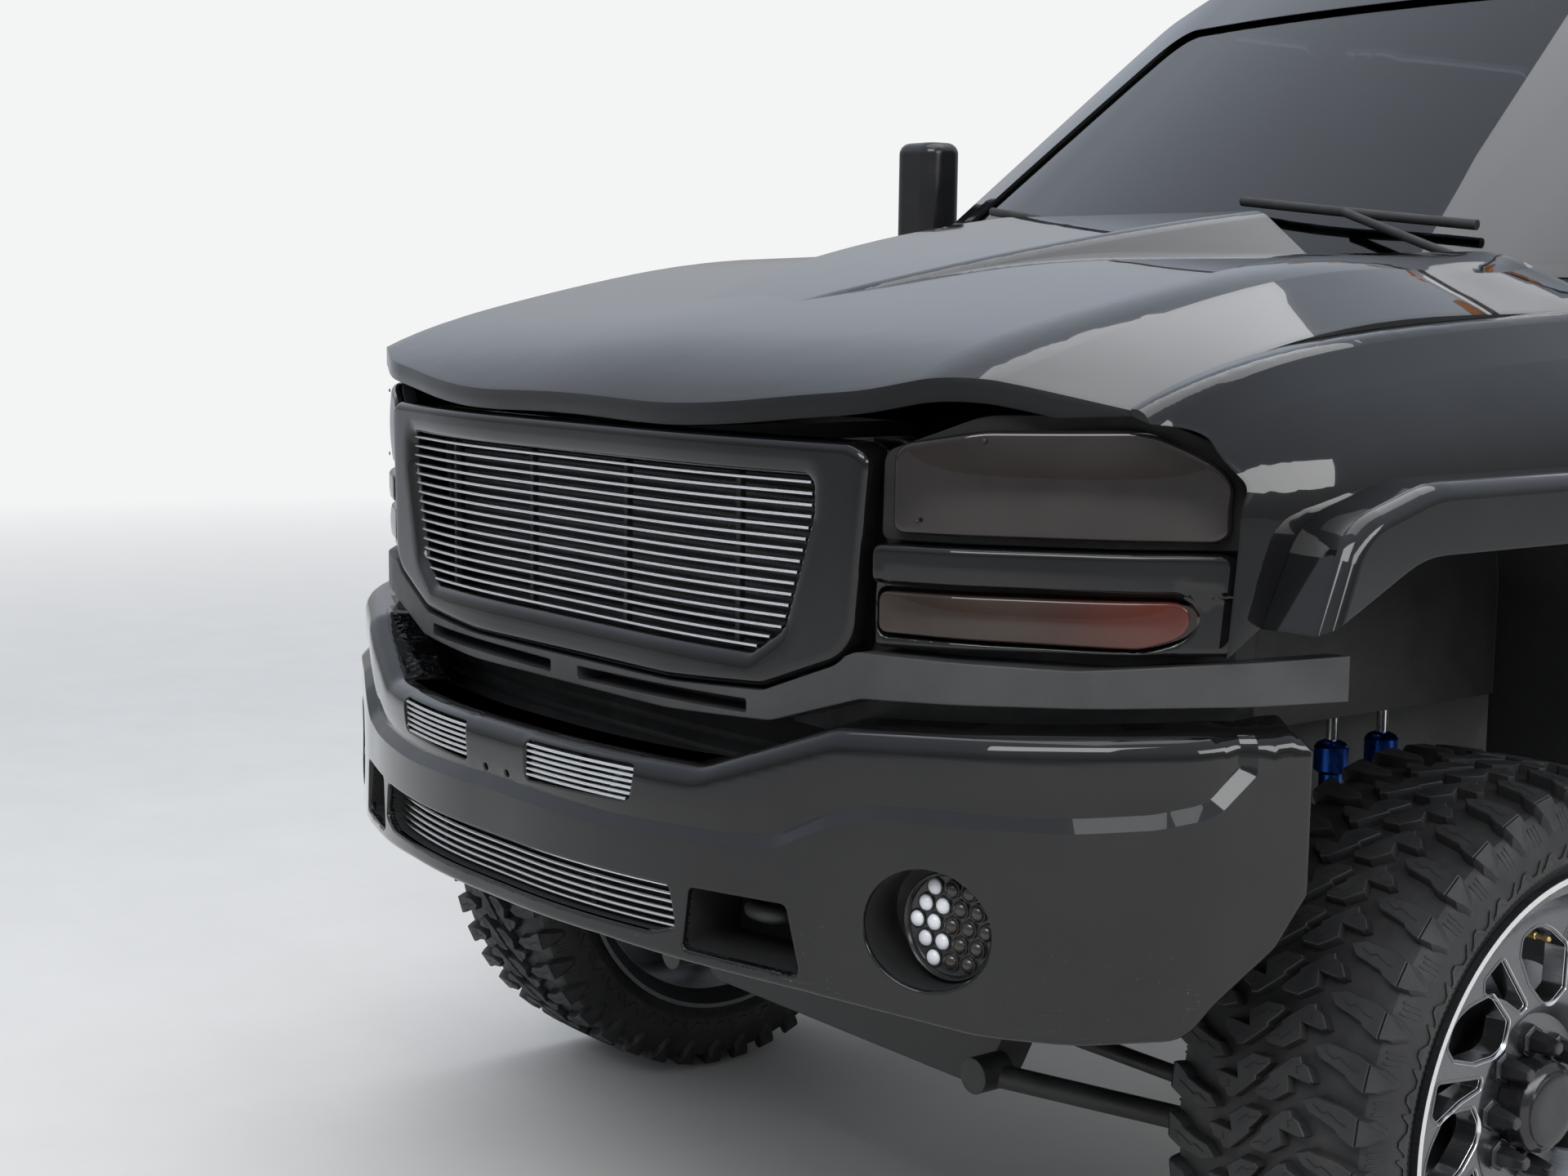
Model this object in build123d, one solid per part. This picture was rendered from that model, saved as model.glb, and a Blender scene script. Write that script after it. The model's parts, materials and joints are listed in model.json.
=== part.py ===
from build123d import *
import os
from math import cos, hypot, pi, radians, sin

# A lifted full-size heavy-duty crew-cab pickup truck, in millimetres.
# X runs to the truck's left side, the front faces -Y, Z is up and z = 0 is the ground.
# A station is a distance behind the front bumper's face; Y is the station less half the length.

# Overall sizes
LENGTH = 6027
WHEELBASE = 3886
FRONT_AXLE = 969
REAR_AXLE = FRONT_AXLE + WHEELBASE
HALF_WIDTH = 992
SEAT_GAP = 0.3
PANEL_GAP = 9

# Wheels and tyres
TYRE_RADIUS = 440
TYRE_INNER_X = 755
TYRE_OUTER_X = 1069
TREAD_DEPTH = 15
RIM_LIP_RADIUS = 322
RIM_OUTER_X = 1064
RIM_INNER_X = TYRE_INNER_X + TYRE_OUTER_X - RIM_OUTER_X
BARREL_RADIUS = 296
BARREL_WALL = 9
BARREL_BEAD_STEP = 6
FLANGE_THICKNESS = 10
WHEEL_FACE_X = 990
WHEEL_FACE_THICKNESS = 26
HUB_PAD_RADIUS = 118
SPOKE_X = 1020
SPOKE_THICKNESS = 34
HUB_CAP_RADIUS = 58
LUG_RADIUS = 13
LUG_BASE_RADIUS = 21
BRAKE_RADIUS = 178
BRAKE_HAT_RADIUS = 100
LUG_CIRCLE_RADIUS = 82.6
LUG_COUNT = 8
HUB_MOUNT_X = WHEEL_FACE_X - WHEEL_FACE_THICKNESS
AXLE_HEIGHT = TYRE_RADIUS

# Steering
KINGPIN_X = 800
KINGPIN_LOW = 285
KINGPIN_HIGH = 665
BALL_STUD_RADIUS = 12
BALL_BORE_RADIUS = 12.3
STEERING_ARM = 150
STEERING_ARM_TOP = 360
SPINDLE_RADIUS = 28

# Frame
RAIL_X = 440
RAIL_WIDTH = 80
RAIL_LOW = 700
RAIL_HIGH = 860
RAIL_FRONT = 250
RAIL_REAR = 5880
RAIL_INNER = RAIL_X - RAIL_WIDTH / 2
RAIL_OUTER = RAIL_X + RAIL_WIDTH / 2

# Cab
CAB_FRONT = 1440
FIREWALL_REAR = 1513
CAB_REAR = 3880
FLOOR_LOW = 900
FLOOR_THICKNESS = 60
ROCKER_LOW = 705
ROCKER_X = 890
SILL_X = 800
BELT_HEIGHT = 1478
BELT_X = 938
ROOF_HEIGHT = 2146
ROOF_THICKNESS = 45
WALL_LOW = 90
WALL_HIGH = 60
WINDSHIELD_BASE_STATION = 1280
WINDSHIELD_BASE_HEIGHT = 1490
WINDSHIELD_TOP_STATION = 2030
WINDSHIELD_TOP_HEIGHT = 2062
GLASS_THICKNESS = 6

# Doors
FRONT_DOOR = 1520
REAR_DOOR = 2568
DOORS_END = 3440
DOOR_LOW = 748
DOOR_HIGH = 2018
SKIN_THICKNESS = 16
SKIN_LAP = 22
HINGE_X = 957
HINGE_SETBACK = 120
HINGE_PIN_RADIUS = 6
HINGE_BORE_RADIUS = 6.3
HINGE_HEIGHTS = (985, 1235)
HINGE_STRAP_HEIGHT = 36

# Front sheet metal
HOOD_HALF_WIDTH = 860
HOOD_REAR = 1290
HOOD_REAR_MIDDLE = 1190
HOOD_HINGE = HOOD_REAR + 70
HOOD_HINGE_X = 760
HOOD_HINGE_HEIGHT = 1449.5
COWL_HEIGHT = 1505
COWL_FRONT_HEIGHT = 1465
HOOD_THICKNESS = 28
FENDER_REAR = FRONT_DOOR - PANEL_GAP - 1
SHUT_GAP = 5
NOSE_DEPTH = 60
SUPPORT_BACK = 76

# Cargo bed
BED_FRONT = CAB_REAR + 24
BED_REAR = 5905
BED_FLOOR_LOW = 980
BED_FLOOR_HIGH = 1020
BED_RAIL_HEIGHT = 1530
BED_INNER_X = 830
TAILGATE_THICKNESS = 62
TAILGATE_PIN_HEIGHT = 1062
TAILGATE_PIN_SETBACK = 34


def y_at(station):
    return station - LENGTH / 2


def outline_face(points, place):
    """A face from corners (a, b) or (a, b, corner radius)."""
    corners = [place(p[0], p[1]) for p in points]
    radii = [p[2] if len(p) == 3 else 0 for p in points]
    return Face(FilletPolyline(*corners, radius=radii, close=True))


def front_prism(points, start, end):
    """An outline in x and height, from one station to another."""
    face = outline_face(points, lambda x, z: (x, y_at(start), z))
    return extrude(face, amount=end - start, dir=(0, 1, 0))


def side_prism(points, inner, outer):
    """An outline in station and height, from one x to another."""
    face = outline_face(points, lambda s, z: (inner, y_at(s), z))
    return extrude(face, amount=outer - inner, dir=(1, 0, 0))


def plan_prism(points, low, high):
    """An outline in x and station, from one height to another."""
    face = outline_face(points, lambda x, s: (x, y_at(s), low))
    return extrude(face, amount=high - low, dir=(0, 0, 1))


def block(x, station, height, radius=0):
    """A box between (low, high) pairs, its upright edges rounded."""
    corners = [(x[0], station[0], radius), (x[1], station[0], radius),
               (x[1], station[1], radius), (x[0], station[1], radius)]
    return plan_prism(corners, height[0], height[1])


def rod(start, end, radius):
    """A round bar between two points given as (x, station, height)."""
    a = Vector(start[0], y_at(start[1]), start[2])
    b = Vector(end[0], y_at(end[1]), end[2])
    return extrude(Plane(origin=a, z_dir=b - a) * Circle(radius), amount=(b - a).length)


def tube_path(points, radius, bend):
    """A round bar along straight runs joined by arcs."""
    corners = [(p[0], y_at(p[1]), p[2]) for p in points]
    path = FilletPolyline(*corners, radius=bend)
    section = Plane(origin=path @ 0, z_dir=path % 0) * Circle(radius)
    return sweep(section, path=path)


def disc(x, station, height, radius, thickness):
    """A disc whose axis runs along X, from x outward."""
    return rod((x, station, height), (x + thickness, station, height), radius)


def side_span(side, inner, outer):
    """The (low, high) pair of x between two distances on one side."""
    return (inner, outer) if side > 0 else (-outer, -inner)


def both_sides(shape):
    return shape + mirror(shape, about=Plane.YZ)


def symmetric(half):
    """A closed outline from its right half, listed without points on the centre line."""
    other = [(-p[0],) + tuple(p[1:]) for p in reversed(half)]
    return list(half) + other


def offset_path(path, distance):
    """An open path moved to its left by a distance, with mitred corners."""
    moved = []
    count = len(path)
    for i in range(count):
        normals = []
        for j in (i - 1, i):
            if 0 <= j < count - 1:
                da = path[j + 1][0] - path[j][0]
                db = path[j + 1][1] - path[j][1]
                size = hypot(da, db)
                normals.append((-db / size, da / size))
        if len(normals) == 1:
            step = (normals[0][0] * distance, normals[0][1] * distance)
            turn = 0
        else:
            (ax, ay), (bx, by) = normals
            scale = distance / (1 + ax * bx + ay * by)
            step = ((ax + bx) * scale, (ay + by) * scale)
            turn = 1 if ax * by - ay * bx > 0 else -1
        radius = path[i][2] if len(path[i]) == 3 else 0
        if radius:
            radius = radius - turn * distance
        moved.append((path[i][0] + step[0], path[i][1] + step[1], radius))
    return moved


def band(path, near, far, low, high):
    """A wall along a plan path, between two depths behind it."""
    front = offset_path(path, near)
    back = offset_path(path, far)
    return plan_prism(front + list(reversed(back)), low, high)


def mirrored_path(half):
    """A plan path from the right end to the left end, from its left half."""
    left = [(-p[0],) + tuple(p[1:]) for p in reversed(half)]
    return left + list(half)


# Plan lines of the nose, half of each: x, station, corner radius
BUMPER_LINE = mirrored_path([(260, 0, 1200), (560, 105, 900), (830, 235, 400), (950, 385, 150), (990, 520)])
FACE_LINE = mirrored_path([(300, 118, 1500), (590, 168, 300), (700, 218, 300), (850, 330, 250),
                           (955, 450, 150), (1003, 560)])

# Cab section, half: x, height, corner radius, share of the wall's thickness
CAB_SIDE = [(ROCKER_X, ROCKER_LOW, 15), (950, 778, 60), (HALF_WIDTH, 1100, 500), (965, 1400, 200),
            (BELT_X, BELT_HEIGHT, 30), (744, 2035, 60), (640, 2105, 100), (380, 2140, 500)]
ROCKER_INNER_X = 775


def side_line(inset):
    """The outer side line from the sill to the roof rail, moved in by an inset."""
    line = [(ROCKER_X - inset, ROCKER_LOW, 0)]
    line += [(p[0] - inset, p[1], p[2]) for p in CAB_SIDE[1:5]]
    upper = inset * WALL_HIGH / WALL_LOW
    line.append((CAB_SIDE[5][0] - upper, CAB_SIDE[5][1], 0))
    return line


def cab_outer_body(start, end):
    half = [(ROCKER_INNER_X, FLOOR_LOW), (ROCKER_INNER_X, ROCKER_LOW)] + CAB_SIDE
    return front_prism(symmetric(half), start, end)


def cab_hollow(start, end):
    floor = FLOOR_LOW + FLOOR_THICKNESS
    half = [(HALF_WIDTH - WALL_LOW, floor, 20), (HALF_WIDTH - WALL_LOW, 1100, 300),
            (965 - WALL_LOW, 1400, 200), (BELT_X - WALL_LOW, BELT_HEIGHT, 30),
            (744 - WALL_HIGH, 2035 - 8, 50), (600, 2105 - ROOF_THICKNESS + 8, 80),
            (380, 2140 - ROOF_THICKNESS, 300)]
    return front_prism(symmetric(half), start, end)


def windshield_space(setback):
    """Everything behind the windshield's surface moved back by a setback."""
    rise = WINDSHIELD_TOP_HEIGHT - WINDSHIELD_BASE_HEIGHT
    run = WINDSHIELD_TOP_STATION - WINDSHIELD_BASE_STATION
    base = WINDSHIELD_BASE_STATION + setback
    lower = 900
    start = base - run * lower / rise
    curve = [(1150, start + 330), (700, start + 60, 700), (250, start - 45, 2000)]
    plan = symmetric([(1150, start + 3200)] + curve)
    face = outline_face(plan, lambda x, s: (x, y_at(s), WINDSHIELD_BASE_HEIGHT - lower))
    direction = Vector(0, run, rise)
    length = direction.length * (lower + 900) / rise
    return extrude(face, amount=length, dir=direction.normalized())


def side_band(near, far, start, end):
    """The side wall between two depths below the outer surface."""
    outer = side_line(near)
    inner = [(x - (far - near), z, r) for x, z, r in side_line(near)[:5]]
    upper = (far - near) * WALL_HIGH / WALL_LOW
    inner.append((side_line(near)[5][0] - upper, side_line(near)[5][1], 0))
    return front_prism(outer + list(reversed(inner)), start, end)


WINDSHIELD_RISE = WINDSHIELD_TOP_HEIGHT - WINDSHIELD_BASE_HEIGHT
WINDSHIELD_RUN = WINDSHIELD_TOP_STATION - WINDSHIELD_BASE_STATION
PILLAR_SLOPE = WINDSHIELD_RISE / WINDSHIELD_RUN
FRONT_PILLAR_LINE = 285


# Door outlines in station and height, clockwise from the lower front corner, with the gap taken off


def pillar_station(height):
    """Station of the front door's slanted edge at a height."""
    rise = height - WINDSHIELD_BASE_HEIGHT
    return WINDSHIELD_BASE_STATION + FRONT_PILLAR_LINE + rise / PILLAR_SLOPE


def front_door_outline(inset):
    top = DOOR_HIGH - inset
    corner = 1500 - inset
    return [(FRONT_DOOR + inset, DOOR_LOW + inset, 40),
            (FRONT_DOOR + inset, corner, 12),
            (pillar_station(corner) + 1.6 * inset + 25, corner + 8, 20),
            (pillar_station(top) + 1.6 * inset, top, 60),
            (REAR_DOOR - PANEL_GAP - 12 - inset, top, 40),
            (REAR_DOOR - PANEL_GAP - inset, BELT_HEIGHT, 0),
            (REAR_DOOR - PANEL_GAP - inset, DOOR_LOW + inset, 40)]


def rear_door_outline(inset):
    top = DOOR_HIGH - inset
    return [(REAR_DOOR + inset, DOOR_LOW + inset, 40),
            (REAR_DOOR + inset, BELT_HEIGHT, 0),
            (REAR_DOOR - 12 + inset, top, 40),
            (DOORS_END - 70 - inset, top, 80),
            (DOORS_END - inset, BELT_HEIGHT - 40, 120),
            (DOORS_END - inset, 1180, 80),
            (DOORS_END - 60 - inset, DOOR_LOW + inset, 60)]


def front_window_outline(inset):
    sill = BELT_HEIGHT + 26 + inset
    top = DOOR_HIGH - 58 - inset
    return [(pillar_station(sill) + 120 + 1.6 * inset, sill, 25),
            (pillar_station(top) + 82 + 1.6 * inset, top, 45),
            (REAR_DOOR - PANEL_GAP - 84 - inset, top, 30),
            (REAR_DOOR - PANEL_GAP - 72 - inset, sill, 20)]


def rear_window_outline(inset):
    sill = BELT_HEIGHT + 26 + inset
    top = DOOR_HIGH - 58 - inset
    return [(REAR_DOOR + 72 + inset, sill, 20),
            (REAR_DOOR + 60 + inset, top, 30),
            (DOORS_END - 150 - inset, top, 70),
            (DOORS_END - 90 - inset, sill, 40)]


def hinge_strap(station, height):
    """A strap from the pillar, in behind the door and out to an upright pin."""
    low = height - HINGE_STRAP_HEIGHT / 2
    high = height + HINGE_STRAP_HEIGHT / 2
    pin = station + HINGE_SETBACK
    root = station - 22
    inner = 828
    path = [(inner, root), (inner + 14, root), (inner + 14, pin - 10, 6), (HINGE_X, pin - 10),
            (HINGE_X, pin + 10), (inner, pin + 10, 12)]
    strap = plan_prism(path, low, high)
    boss = rod((HINGE_X, pin, low), (HINGE_X, pin, high), 10)
    pin_bar = rod((HINGE_X, pin, low - 30), (HINGE_X, pin, high + 30), HINGE_PIN_RADIUS)
    return strap + boss + pin_bar


def hinge_pocket(station, height):
    """Room in the door for the strap, through the whole swing, and the pin's bore."""
    clear = 6
    low = height - HINGE_STRAP_HEIGHT / 2 - clear
    high = height + HINGE_STRAP_HEIGHT / 2 + clear
    pin = station + HINGE_SETBACK
    pocket = block((HINGE_X - 200, HINGE_X + 10), (station - 40, pin + 17), (low, high))
    around = rod((HINGE_X, pin, low), (HINGE_X, pin, high), 20)
    bore = rod((HINGE_X, pin, low - 31), (HINGE_X, pin, high + 31), HINGE_BORE_RADIUS)
    return pocket + around + bore


def make_door(outline, window, station):
    start = station - 30
    end = station + 1200
    skin = side_band(0, SKIN_THICKNESS, start, end) & side_prism(outline(0), 500, 1100)
    inner = side_band(SKIN_THICKNESS, WALL_LOW, start, end) & side_prism(outline(SKIN_LAP), 500, 1100)
    door = skin + inner
    door -= side_prism(window(0), 500, 1100)
    for height in HINGE_HEIGHTS:
        door -= hinge_pocket(station, height)
    return door


def make_door_glass(window, station):
    start = station - 30
    pane = side_band(22, 22 + GLASS_THICKNESS * 1.1, start, station + 1200)
    return pane & side_prism(window(SEAT_GAP), 500, 1100)


def door_handle(station):
    """A pull handle: a bar on two feet, set into the door's skin."""
    height = 1395
    x = 968
    bar = side_prism([(station, height - 14, 8), (station, height + 14, 8),
                      (station + 190, height + 14, 8), (station + 190, height - 14, 8)], x + 14, x + 30)
    feet = block((x - 14, x + 20), (station + 6, station + 34), (height - 12, height + 12))
    feet += block((x - 14, x + 20), (station + 156, station + 184), (height - 12, height + 12))
    return bar + feet


# Cab shell

REAR_WINDOW = [(560, 1530, 50), (520, 1960, 60)]


def make_cab_outer():
    """The whole cab as one solid, before it is hollowed and cut."""
    body = cab_outer_body(WINDSHIELD_BASE_STATION - 60, CAB_REAR)
    start = WINDSHIELD_BASE_STATION - 60
    profile = [(CAB_FRONT, ROCKER_LOW - 10), (CAB_FRONT, COWL_HEIGHT + 3), (start, COWL_HEIGHT + 3),
               (start, 2105), (2100, 2105, 200), (2600, ROOF_HEIGHT, 900),
               (3300, ROOF_HEIGHT, 900), (3760, 2110, 150), (CAB_REAR - 40, 2020, 60),
               (CAB_REAR, BELT_HEIGHT, 300), (CAB_REAR, ROCKER_LOW - 10)]
    body &= side_prism(profile, -1100, 1100)
    return body & windshield_space(0)


def make_cab_shell():
    body = make_cab_outer()
    hollow = cab_hollow(FIREWALL_REAR, CAB_REAR - 60)
    hollow &= windshield_space(48)
    ceiling = ROOF_HEIGHT - 48
    profile = [(FIREWALL_REAR, 900), (FIREWALL_REAR, 2060), (2100, 2060, 200), (2600, ceiling, 900),
               (3300, ceiling, 900), (CAB_REAR - 165, 2060, 100), (CAB_REAR - 95, 1990, 40),
               (CAB_REAR - 60, 1500, 200), (CAB_REAR - 60, 900)]
    hollow &= side_prism(profile, -1100, 1100)
    body -= hollow
    # The front corners give room to the fenders' rear ends.
    corner = block((852, 1100), (CAB_FRONT - 20, FIREWALL_REAR), (ROCKER_LOW - 50, BELT_HEIGHT + 2))
    body -= both_sides(corner)
    openings = side_prism(front_door_outline(-PANEL_GAP), 640, 1100)
    openings += side_prism(rear_door_outline(-PANEL_GAP), 640, 1100)
    floor = FLOOR_LOW + FLOOR_THICKNESS
    openings -= block((600, SILL_X), (FRONT_DOOR - 50, DOORS_END + 50), (ROCKER_LOW, floor))
    body -= both_sides(openings)
    body -= windshield_opening(0)
    body -= rear_window_opening(0)
    pillar = side_band(WALL_LOW + 6, WALL_LOW + 60, REAR_DOOR - 95, REAR_DOOR - 16)
    pillar &= side_prism([(REAR_DOOR - 95, ROCKER_LOW), (REAR_DOOR - 105, 2029),
                          (REAR_DOOR - 26, 2029), (REAR_DOOR - 16, ROCKER_LOW)], 500, 1100)
    pillar -= block((500, 1100), (2000, 3000), (0, floor - 10))
    body += both_sides(pillar)
    for station in (FRONT_DOOR, REAR_DOOR):
        for height in HINGE_HEIGHTS:
            body += both_sides(hinge_strap(station, height))
    return body


def windshield_opening(inset):
    outline = symmetric([(770 - inset, WINDSHIELD_BASE_HEIGHT + 38 + inset, 50),
                         (632 - inset, WINDSHIELD_TOP_HEIGHT - 52 - inset, 70)])
    return front_prism(outline, WINDSHIELD_BASE_STATION - 200, WINDSHIELD_TOP_STATION + 150)


def rear_window_opening(inset):
    half = [(REAR_WINDOW[0][0] - inset, REAR_WINDOW[0][1] + inset, REAR_WINDOW[0][2]),
            (REAR_WINDOW[1][0] - inset, REAR_WINDOW[1][1] - inset, REAR_WINDOW[1][2])]
    return front_prism(symmetric(half), CAB_REAR - 200, CAB_REAR + 50)


def make_cab_glass():
    front = windshield_space(14) - windshield_space(14 + 1.65 * GLASS_THICKNESS)
    front &= windshield_opening(SEAT_GAP)
    lower = CAB_REAR - 30
    upper = lower - 60
    rear = side_prism([(lower, 1400), (upper, 2100), (upper - GLASS_THICKNESS, 2100),
                       (lower - GLASS_THICKNESS, 1400)], -700, 700)
    rear &= rear_window_opening(SEAT_GAP)
    return front + rear


# Hood: station, height at the outer edge, at the shoulder and on the centre line
HOOD_SECTION_X = 900
HOOD_SHOULDER_X = 690
HOOD_SHOULDER_RADIUS = 220
HOOD_SECTIONS = [(90, 1272, 1285, 1300), (200, 1282, 1374, 1394), (330, 1323, 1424, 1440),
                 (600, 1402, 1486, 1499), (1000, 1436, 1533, 1545), (HOOD_REAR + 10, 1444, 1554, 1566)]


def hood_section(station, edge, shoulder, centre, drop):
    y = y_at(station)
    half = [(HOOD_SECTION_X, 900), (HOOD_SECTION_X, edge - drop),
            (HOOD_SHOULDER_X, shoulder - drop, HOOD_SHOULDER_RADIUS)]
    outline = half + [(0, centre - drop, 4000)] + [(-p[0],) + tuple(p[1:]) for p in reversed(half)]
    return outline_face(outline, lambda x, z: (x, y, z))


def hood_space(drop):
    return loft([hood_section(*row, drop) for row in HOOD_SECTIONS])


def hood_edges(gap):
    """The hood's outline in plan, its front edge along the lamps and the grille."""
    front = offset_path(FACE_LINE, 2)[1:-1]
    inside = [p for p in front if abs(p[0]) < 700]
    width = HOOD_HALF_WIDTH - gap
    rear = [(width, HOOD_REAR), (250, HOOD_REAR_MIDDLE, 900), (-250, HOOD_REAR_MIDDLE, 900),
            (-width, HOOD_REAR)]
    return [(-width, 335, 0)] + inside + [(width, 335, 0)] + rear


# The hood's front edge seen from the front, half
HOOD_FRONT_EDGE = [(380, 1303, 100), (584, 1311, 100), (722, 1330, 200), (900, 1341)]

# Cowl bulge on the hood: station, half width at the foot, half width on top, height over the hood's centre
BULGE_SECTIONS = [(380, 170, 110, -4), (800, 330, 235, 24), (1300, 430, 300, 52)]


def bulge_space(drop):
    faces = []
    for station, foot, top, rise in BULGE_SECTIONS:
        centre = hood_centre(station)
        half = [(foot - drop, centre - 60), (top - drop, centre + rise - drop, 40)]
        y = y_at(station)
        faces.append(outline_face(symmetric(half), lambda x, z: (x, y, z)))
    return loft(faces)


def hood_centre(station):
    for left, right in zip(HOOD_SECTIONS, HOOD_SECTIONS[1:]):
        if left[0] <= station <= right[0]:
            share = (station - left[0]) / (right[0] - left[0])
            return left[3] + share * (right[3] - left[3])
    return HOOD_SECTIONS[-1][3]


def make_hood():
    region = plan_prism(hood_edges(SHUT_GAP / 2), 1100, 1700)
    outer = (hood_space(0) & region) + (bulge_space(0) & region)
    inner = hood_space(HOOD_THICKNESS) + bulge_space(14)
    hood = outer - inner
    hood &= front_prism(symmetric(HOOD_FRONT_EDGE + [(900, 1750)]), 0, HOOD_REAR + 20)
    for side in (-1, 1):
        x = side * HOOD_HINGE_X
        wide = (x - 14, x + 14)
        low = HOOD_HINGE_HEIGHT - 12.5
        lug = block(wide, (HOOD_REAR - 50, HOOD_REAR - 3), (low, 1600)) & hood_space(HOOD_THICKNESS - 4)
        lug += block(wide, (HOOD_REAR - 50, HOOD_HINGE), (low, HOOD_HINGE_HEIGHT + 12.5))
        boss = rod((x - 14, HOOD_HINGE, HOOD_HINGE_HEIGHT), (x + 14, HOOD_HINGE, HOOD_HINGE_HEIGHT), 14)
        bore = rod((x - 15, HOOD_HINGE, HOOD_HINGE_HEIGHT), (x + 15, HOOD_HINGE, HOOD_HINGE_HEIGHT),
                   HINGE_BORE_RADIUS)
        hood += lug + boss - bore
    return hood


# Front fender: station, outer x, shoulder height, shoulder drop
FENDER_SECTIONS = [(330, 905, 1347, 95), (450, 962, 1388, 110), (600, 984, 1418, 118), (820, 992, 1441, 124),
                   (1150, 993, 1461, 130), (FENDER_REAR, 991, 1472, 130)]


def fender_section(station, outer, top, drop, wall):
    y = y_at(station)
    inner_x = HOOD_HALF_WIDTH + SHUT_GAP / 2 if wall == 0 else 600
    points = [(inner_x, 620), (inner_x, top - wall), (HOOD_HALF_WIDTH + 32 - wall, top - wall, 28),
              (outer - wall, top - drop, drop * 2), (outer - wall, 620)]
    return outline_face(points, lambda x, z: (x, y, z))


def fender_space(wall):
    return loft([fender_section(*row, wall) for row in FENDER_SECTIONS])


def fender_blank():
    return fender_space(0) - fender_space(38)


ARCH_OPENING = [(FRONT_AXLE - 590, 600), (FRONT_AXLE - 590, 1040), (FRONT_AXLE - 520, 1100, 60),
                (FRONT_AXLE - 350, 1180, 160), (FRONT_AXLE + 340, 1180, 200), (FRONT_AXLE + 430, 1040, 120),
                (FRONT_AXLE + 445, 600)]
FLARE_TOP = [(FRONT_AXLE - 530, 1075), (FRONT_AXLE - 470, 1225, 90), (FRONT_AXLE - 330, 1265, 200),
             (FRONT_AXLE + 300, 1268, 260), (FRONT_AXLE + 470, 1090, 150), (FRONT_AXLE + 492, 760)]
STRIP_TOP = 1066
FLARE_REACH = 62
FLARE_ROUND = 22


def make_front_fenders():
    blank = fender_blank()
    side = side_prism([(300, STRIP_TOP), (300, 1500), (FENDER_REAR, 1500), (FENDER_REAR, 720), (1200, 720),
                       (1200, 900), (600, 900), (600, STRIP_TOP)], 500, 1100)
    fender = blank & side
    fender -= side_prism(ARCH_OPENING, 500, 1200)
    fender -= lamp_pocket()
    return both_sides(fender)


def lamp_pocket():
    """Room for the lamps, taken from the fender's front corner."""
    region = front_prism([(500, 1050), (948, 1050), (952, 1200), (952, 1262, 40), (912, 1326, 50),
                          (856, 1341, 60), (500, 1341)], 0, 600)
    return region


def make_flares():
    inner_x = HALF_WIDTH + 3
    outline = FLARE_TOP + [(FRONT_AXLE + 300, 760), (FRONT_AXLE - 300, 1000)]
    flare = side_prism(outline, inner_x - 60, inner_x + FLARE_REACH)
    flare = fillet(flare.faces().sort_by(Axis.X)[-1].edges(), FLARE_ROUND)
    flare -= side_prism(ARCH_OPENING, inner_x - 100, inner_x + 100)
    bed_side = front_prism(symmetric(bed_side_line()), BED_FRONT, BED_REAR)
    front = flare - Pos(SEAT_GAP, 0, 0) * fender_space(0)
    rear = at_rear_axle(flare) - Pos(SEAT_GAP, 0, 0) * bed_side
    return both_sides(front) + both_sides(rear)


def at_rear_axle(shape):
    return Pos(0, WHEELBASE, 0) * shape


def make_wheel_liners():
    """The black wheel wells inside the front fenders."""
    front = FRONT_AXLE - 500
    rear = FRONT_AXLE + 440
    top = 1240
    sheet = 6
    outer = [(front, 990), (front, top, 200), (rear, top, 200), (rear, 730)]
    inner = [(rear - sheet, 730), (rear - sheet, top - sheet, 194), (front + sheet, top - sheet, 194),
             (front + sheet, 990)]
    arch = side_prism(outer + inner, 600, 945)
    well = [(front + sheet, 990), (front + sheet, top - sheet, 194), (rear - sheet, top - sheet, 194),
            (rear - sheet, 880), (FRONT_AXLE - 300, 880)]
    liner = arch + side_prism(well, 600, 600 + sheet) - Pos(-SEAT_GAP, 0, 0) * fender_blank()
    return both_sides(liner - band(FACE_LINE, -300, SUPPORT_BACK + SEAT_GAP, 900, 1400))


# Front bumper

BUMPER_DEPTH = 46
BUMPER_FRONT = [(400, 886, 60), (590, 958, 60), (950, 978, 200), (1010, 984), (1010, 880), (978, 720, 80),
                (940, 620, 30), (860, 611, 100), (760, 612, 300), (557, 632, 300), (250, 646, 500)]
CAP_SET_IN = 14
CAP_OUTLINE = [(0, 797), (256, 792, 300), (447, 796, 200), (520, 803, 80), (583, 837, 40), (643, 856, 60),
               (771, 860, 300), (850, 862, 300), (913, 869, 60), (953, 883, 20), (968, 930, 20), (968, 1010),
               (0, 1010)]
FOG_X = 706
FOG_HEIGHT = 730
FOG_RADIUS = 73
PLATE_HOLE_X = 28
PLATE_HOLE_HEIGHT = 821
PLATE_HOLE = 4.5
SMALL_GRILLE = [(78, 822, 8), (80, 877, 8), (304, 877, 8), (294, 829, 12)]
LOWER_OPENING = [(368, 734, 10), (380, 680, 10), (340, 668, 60)]
HOOK_OPENING = [(400, 736, 8), (536, 736, 8), (556, 650, 8), (390, 656, 8)]


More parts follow.
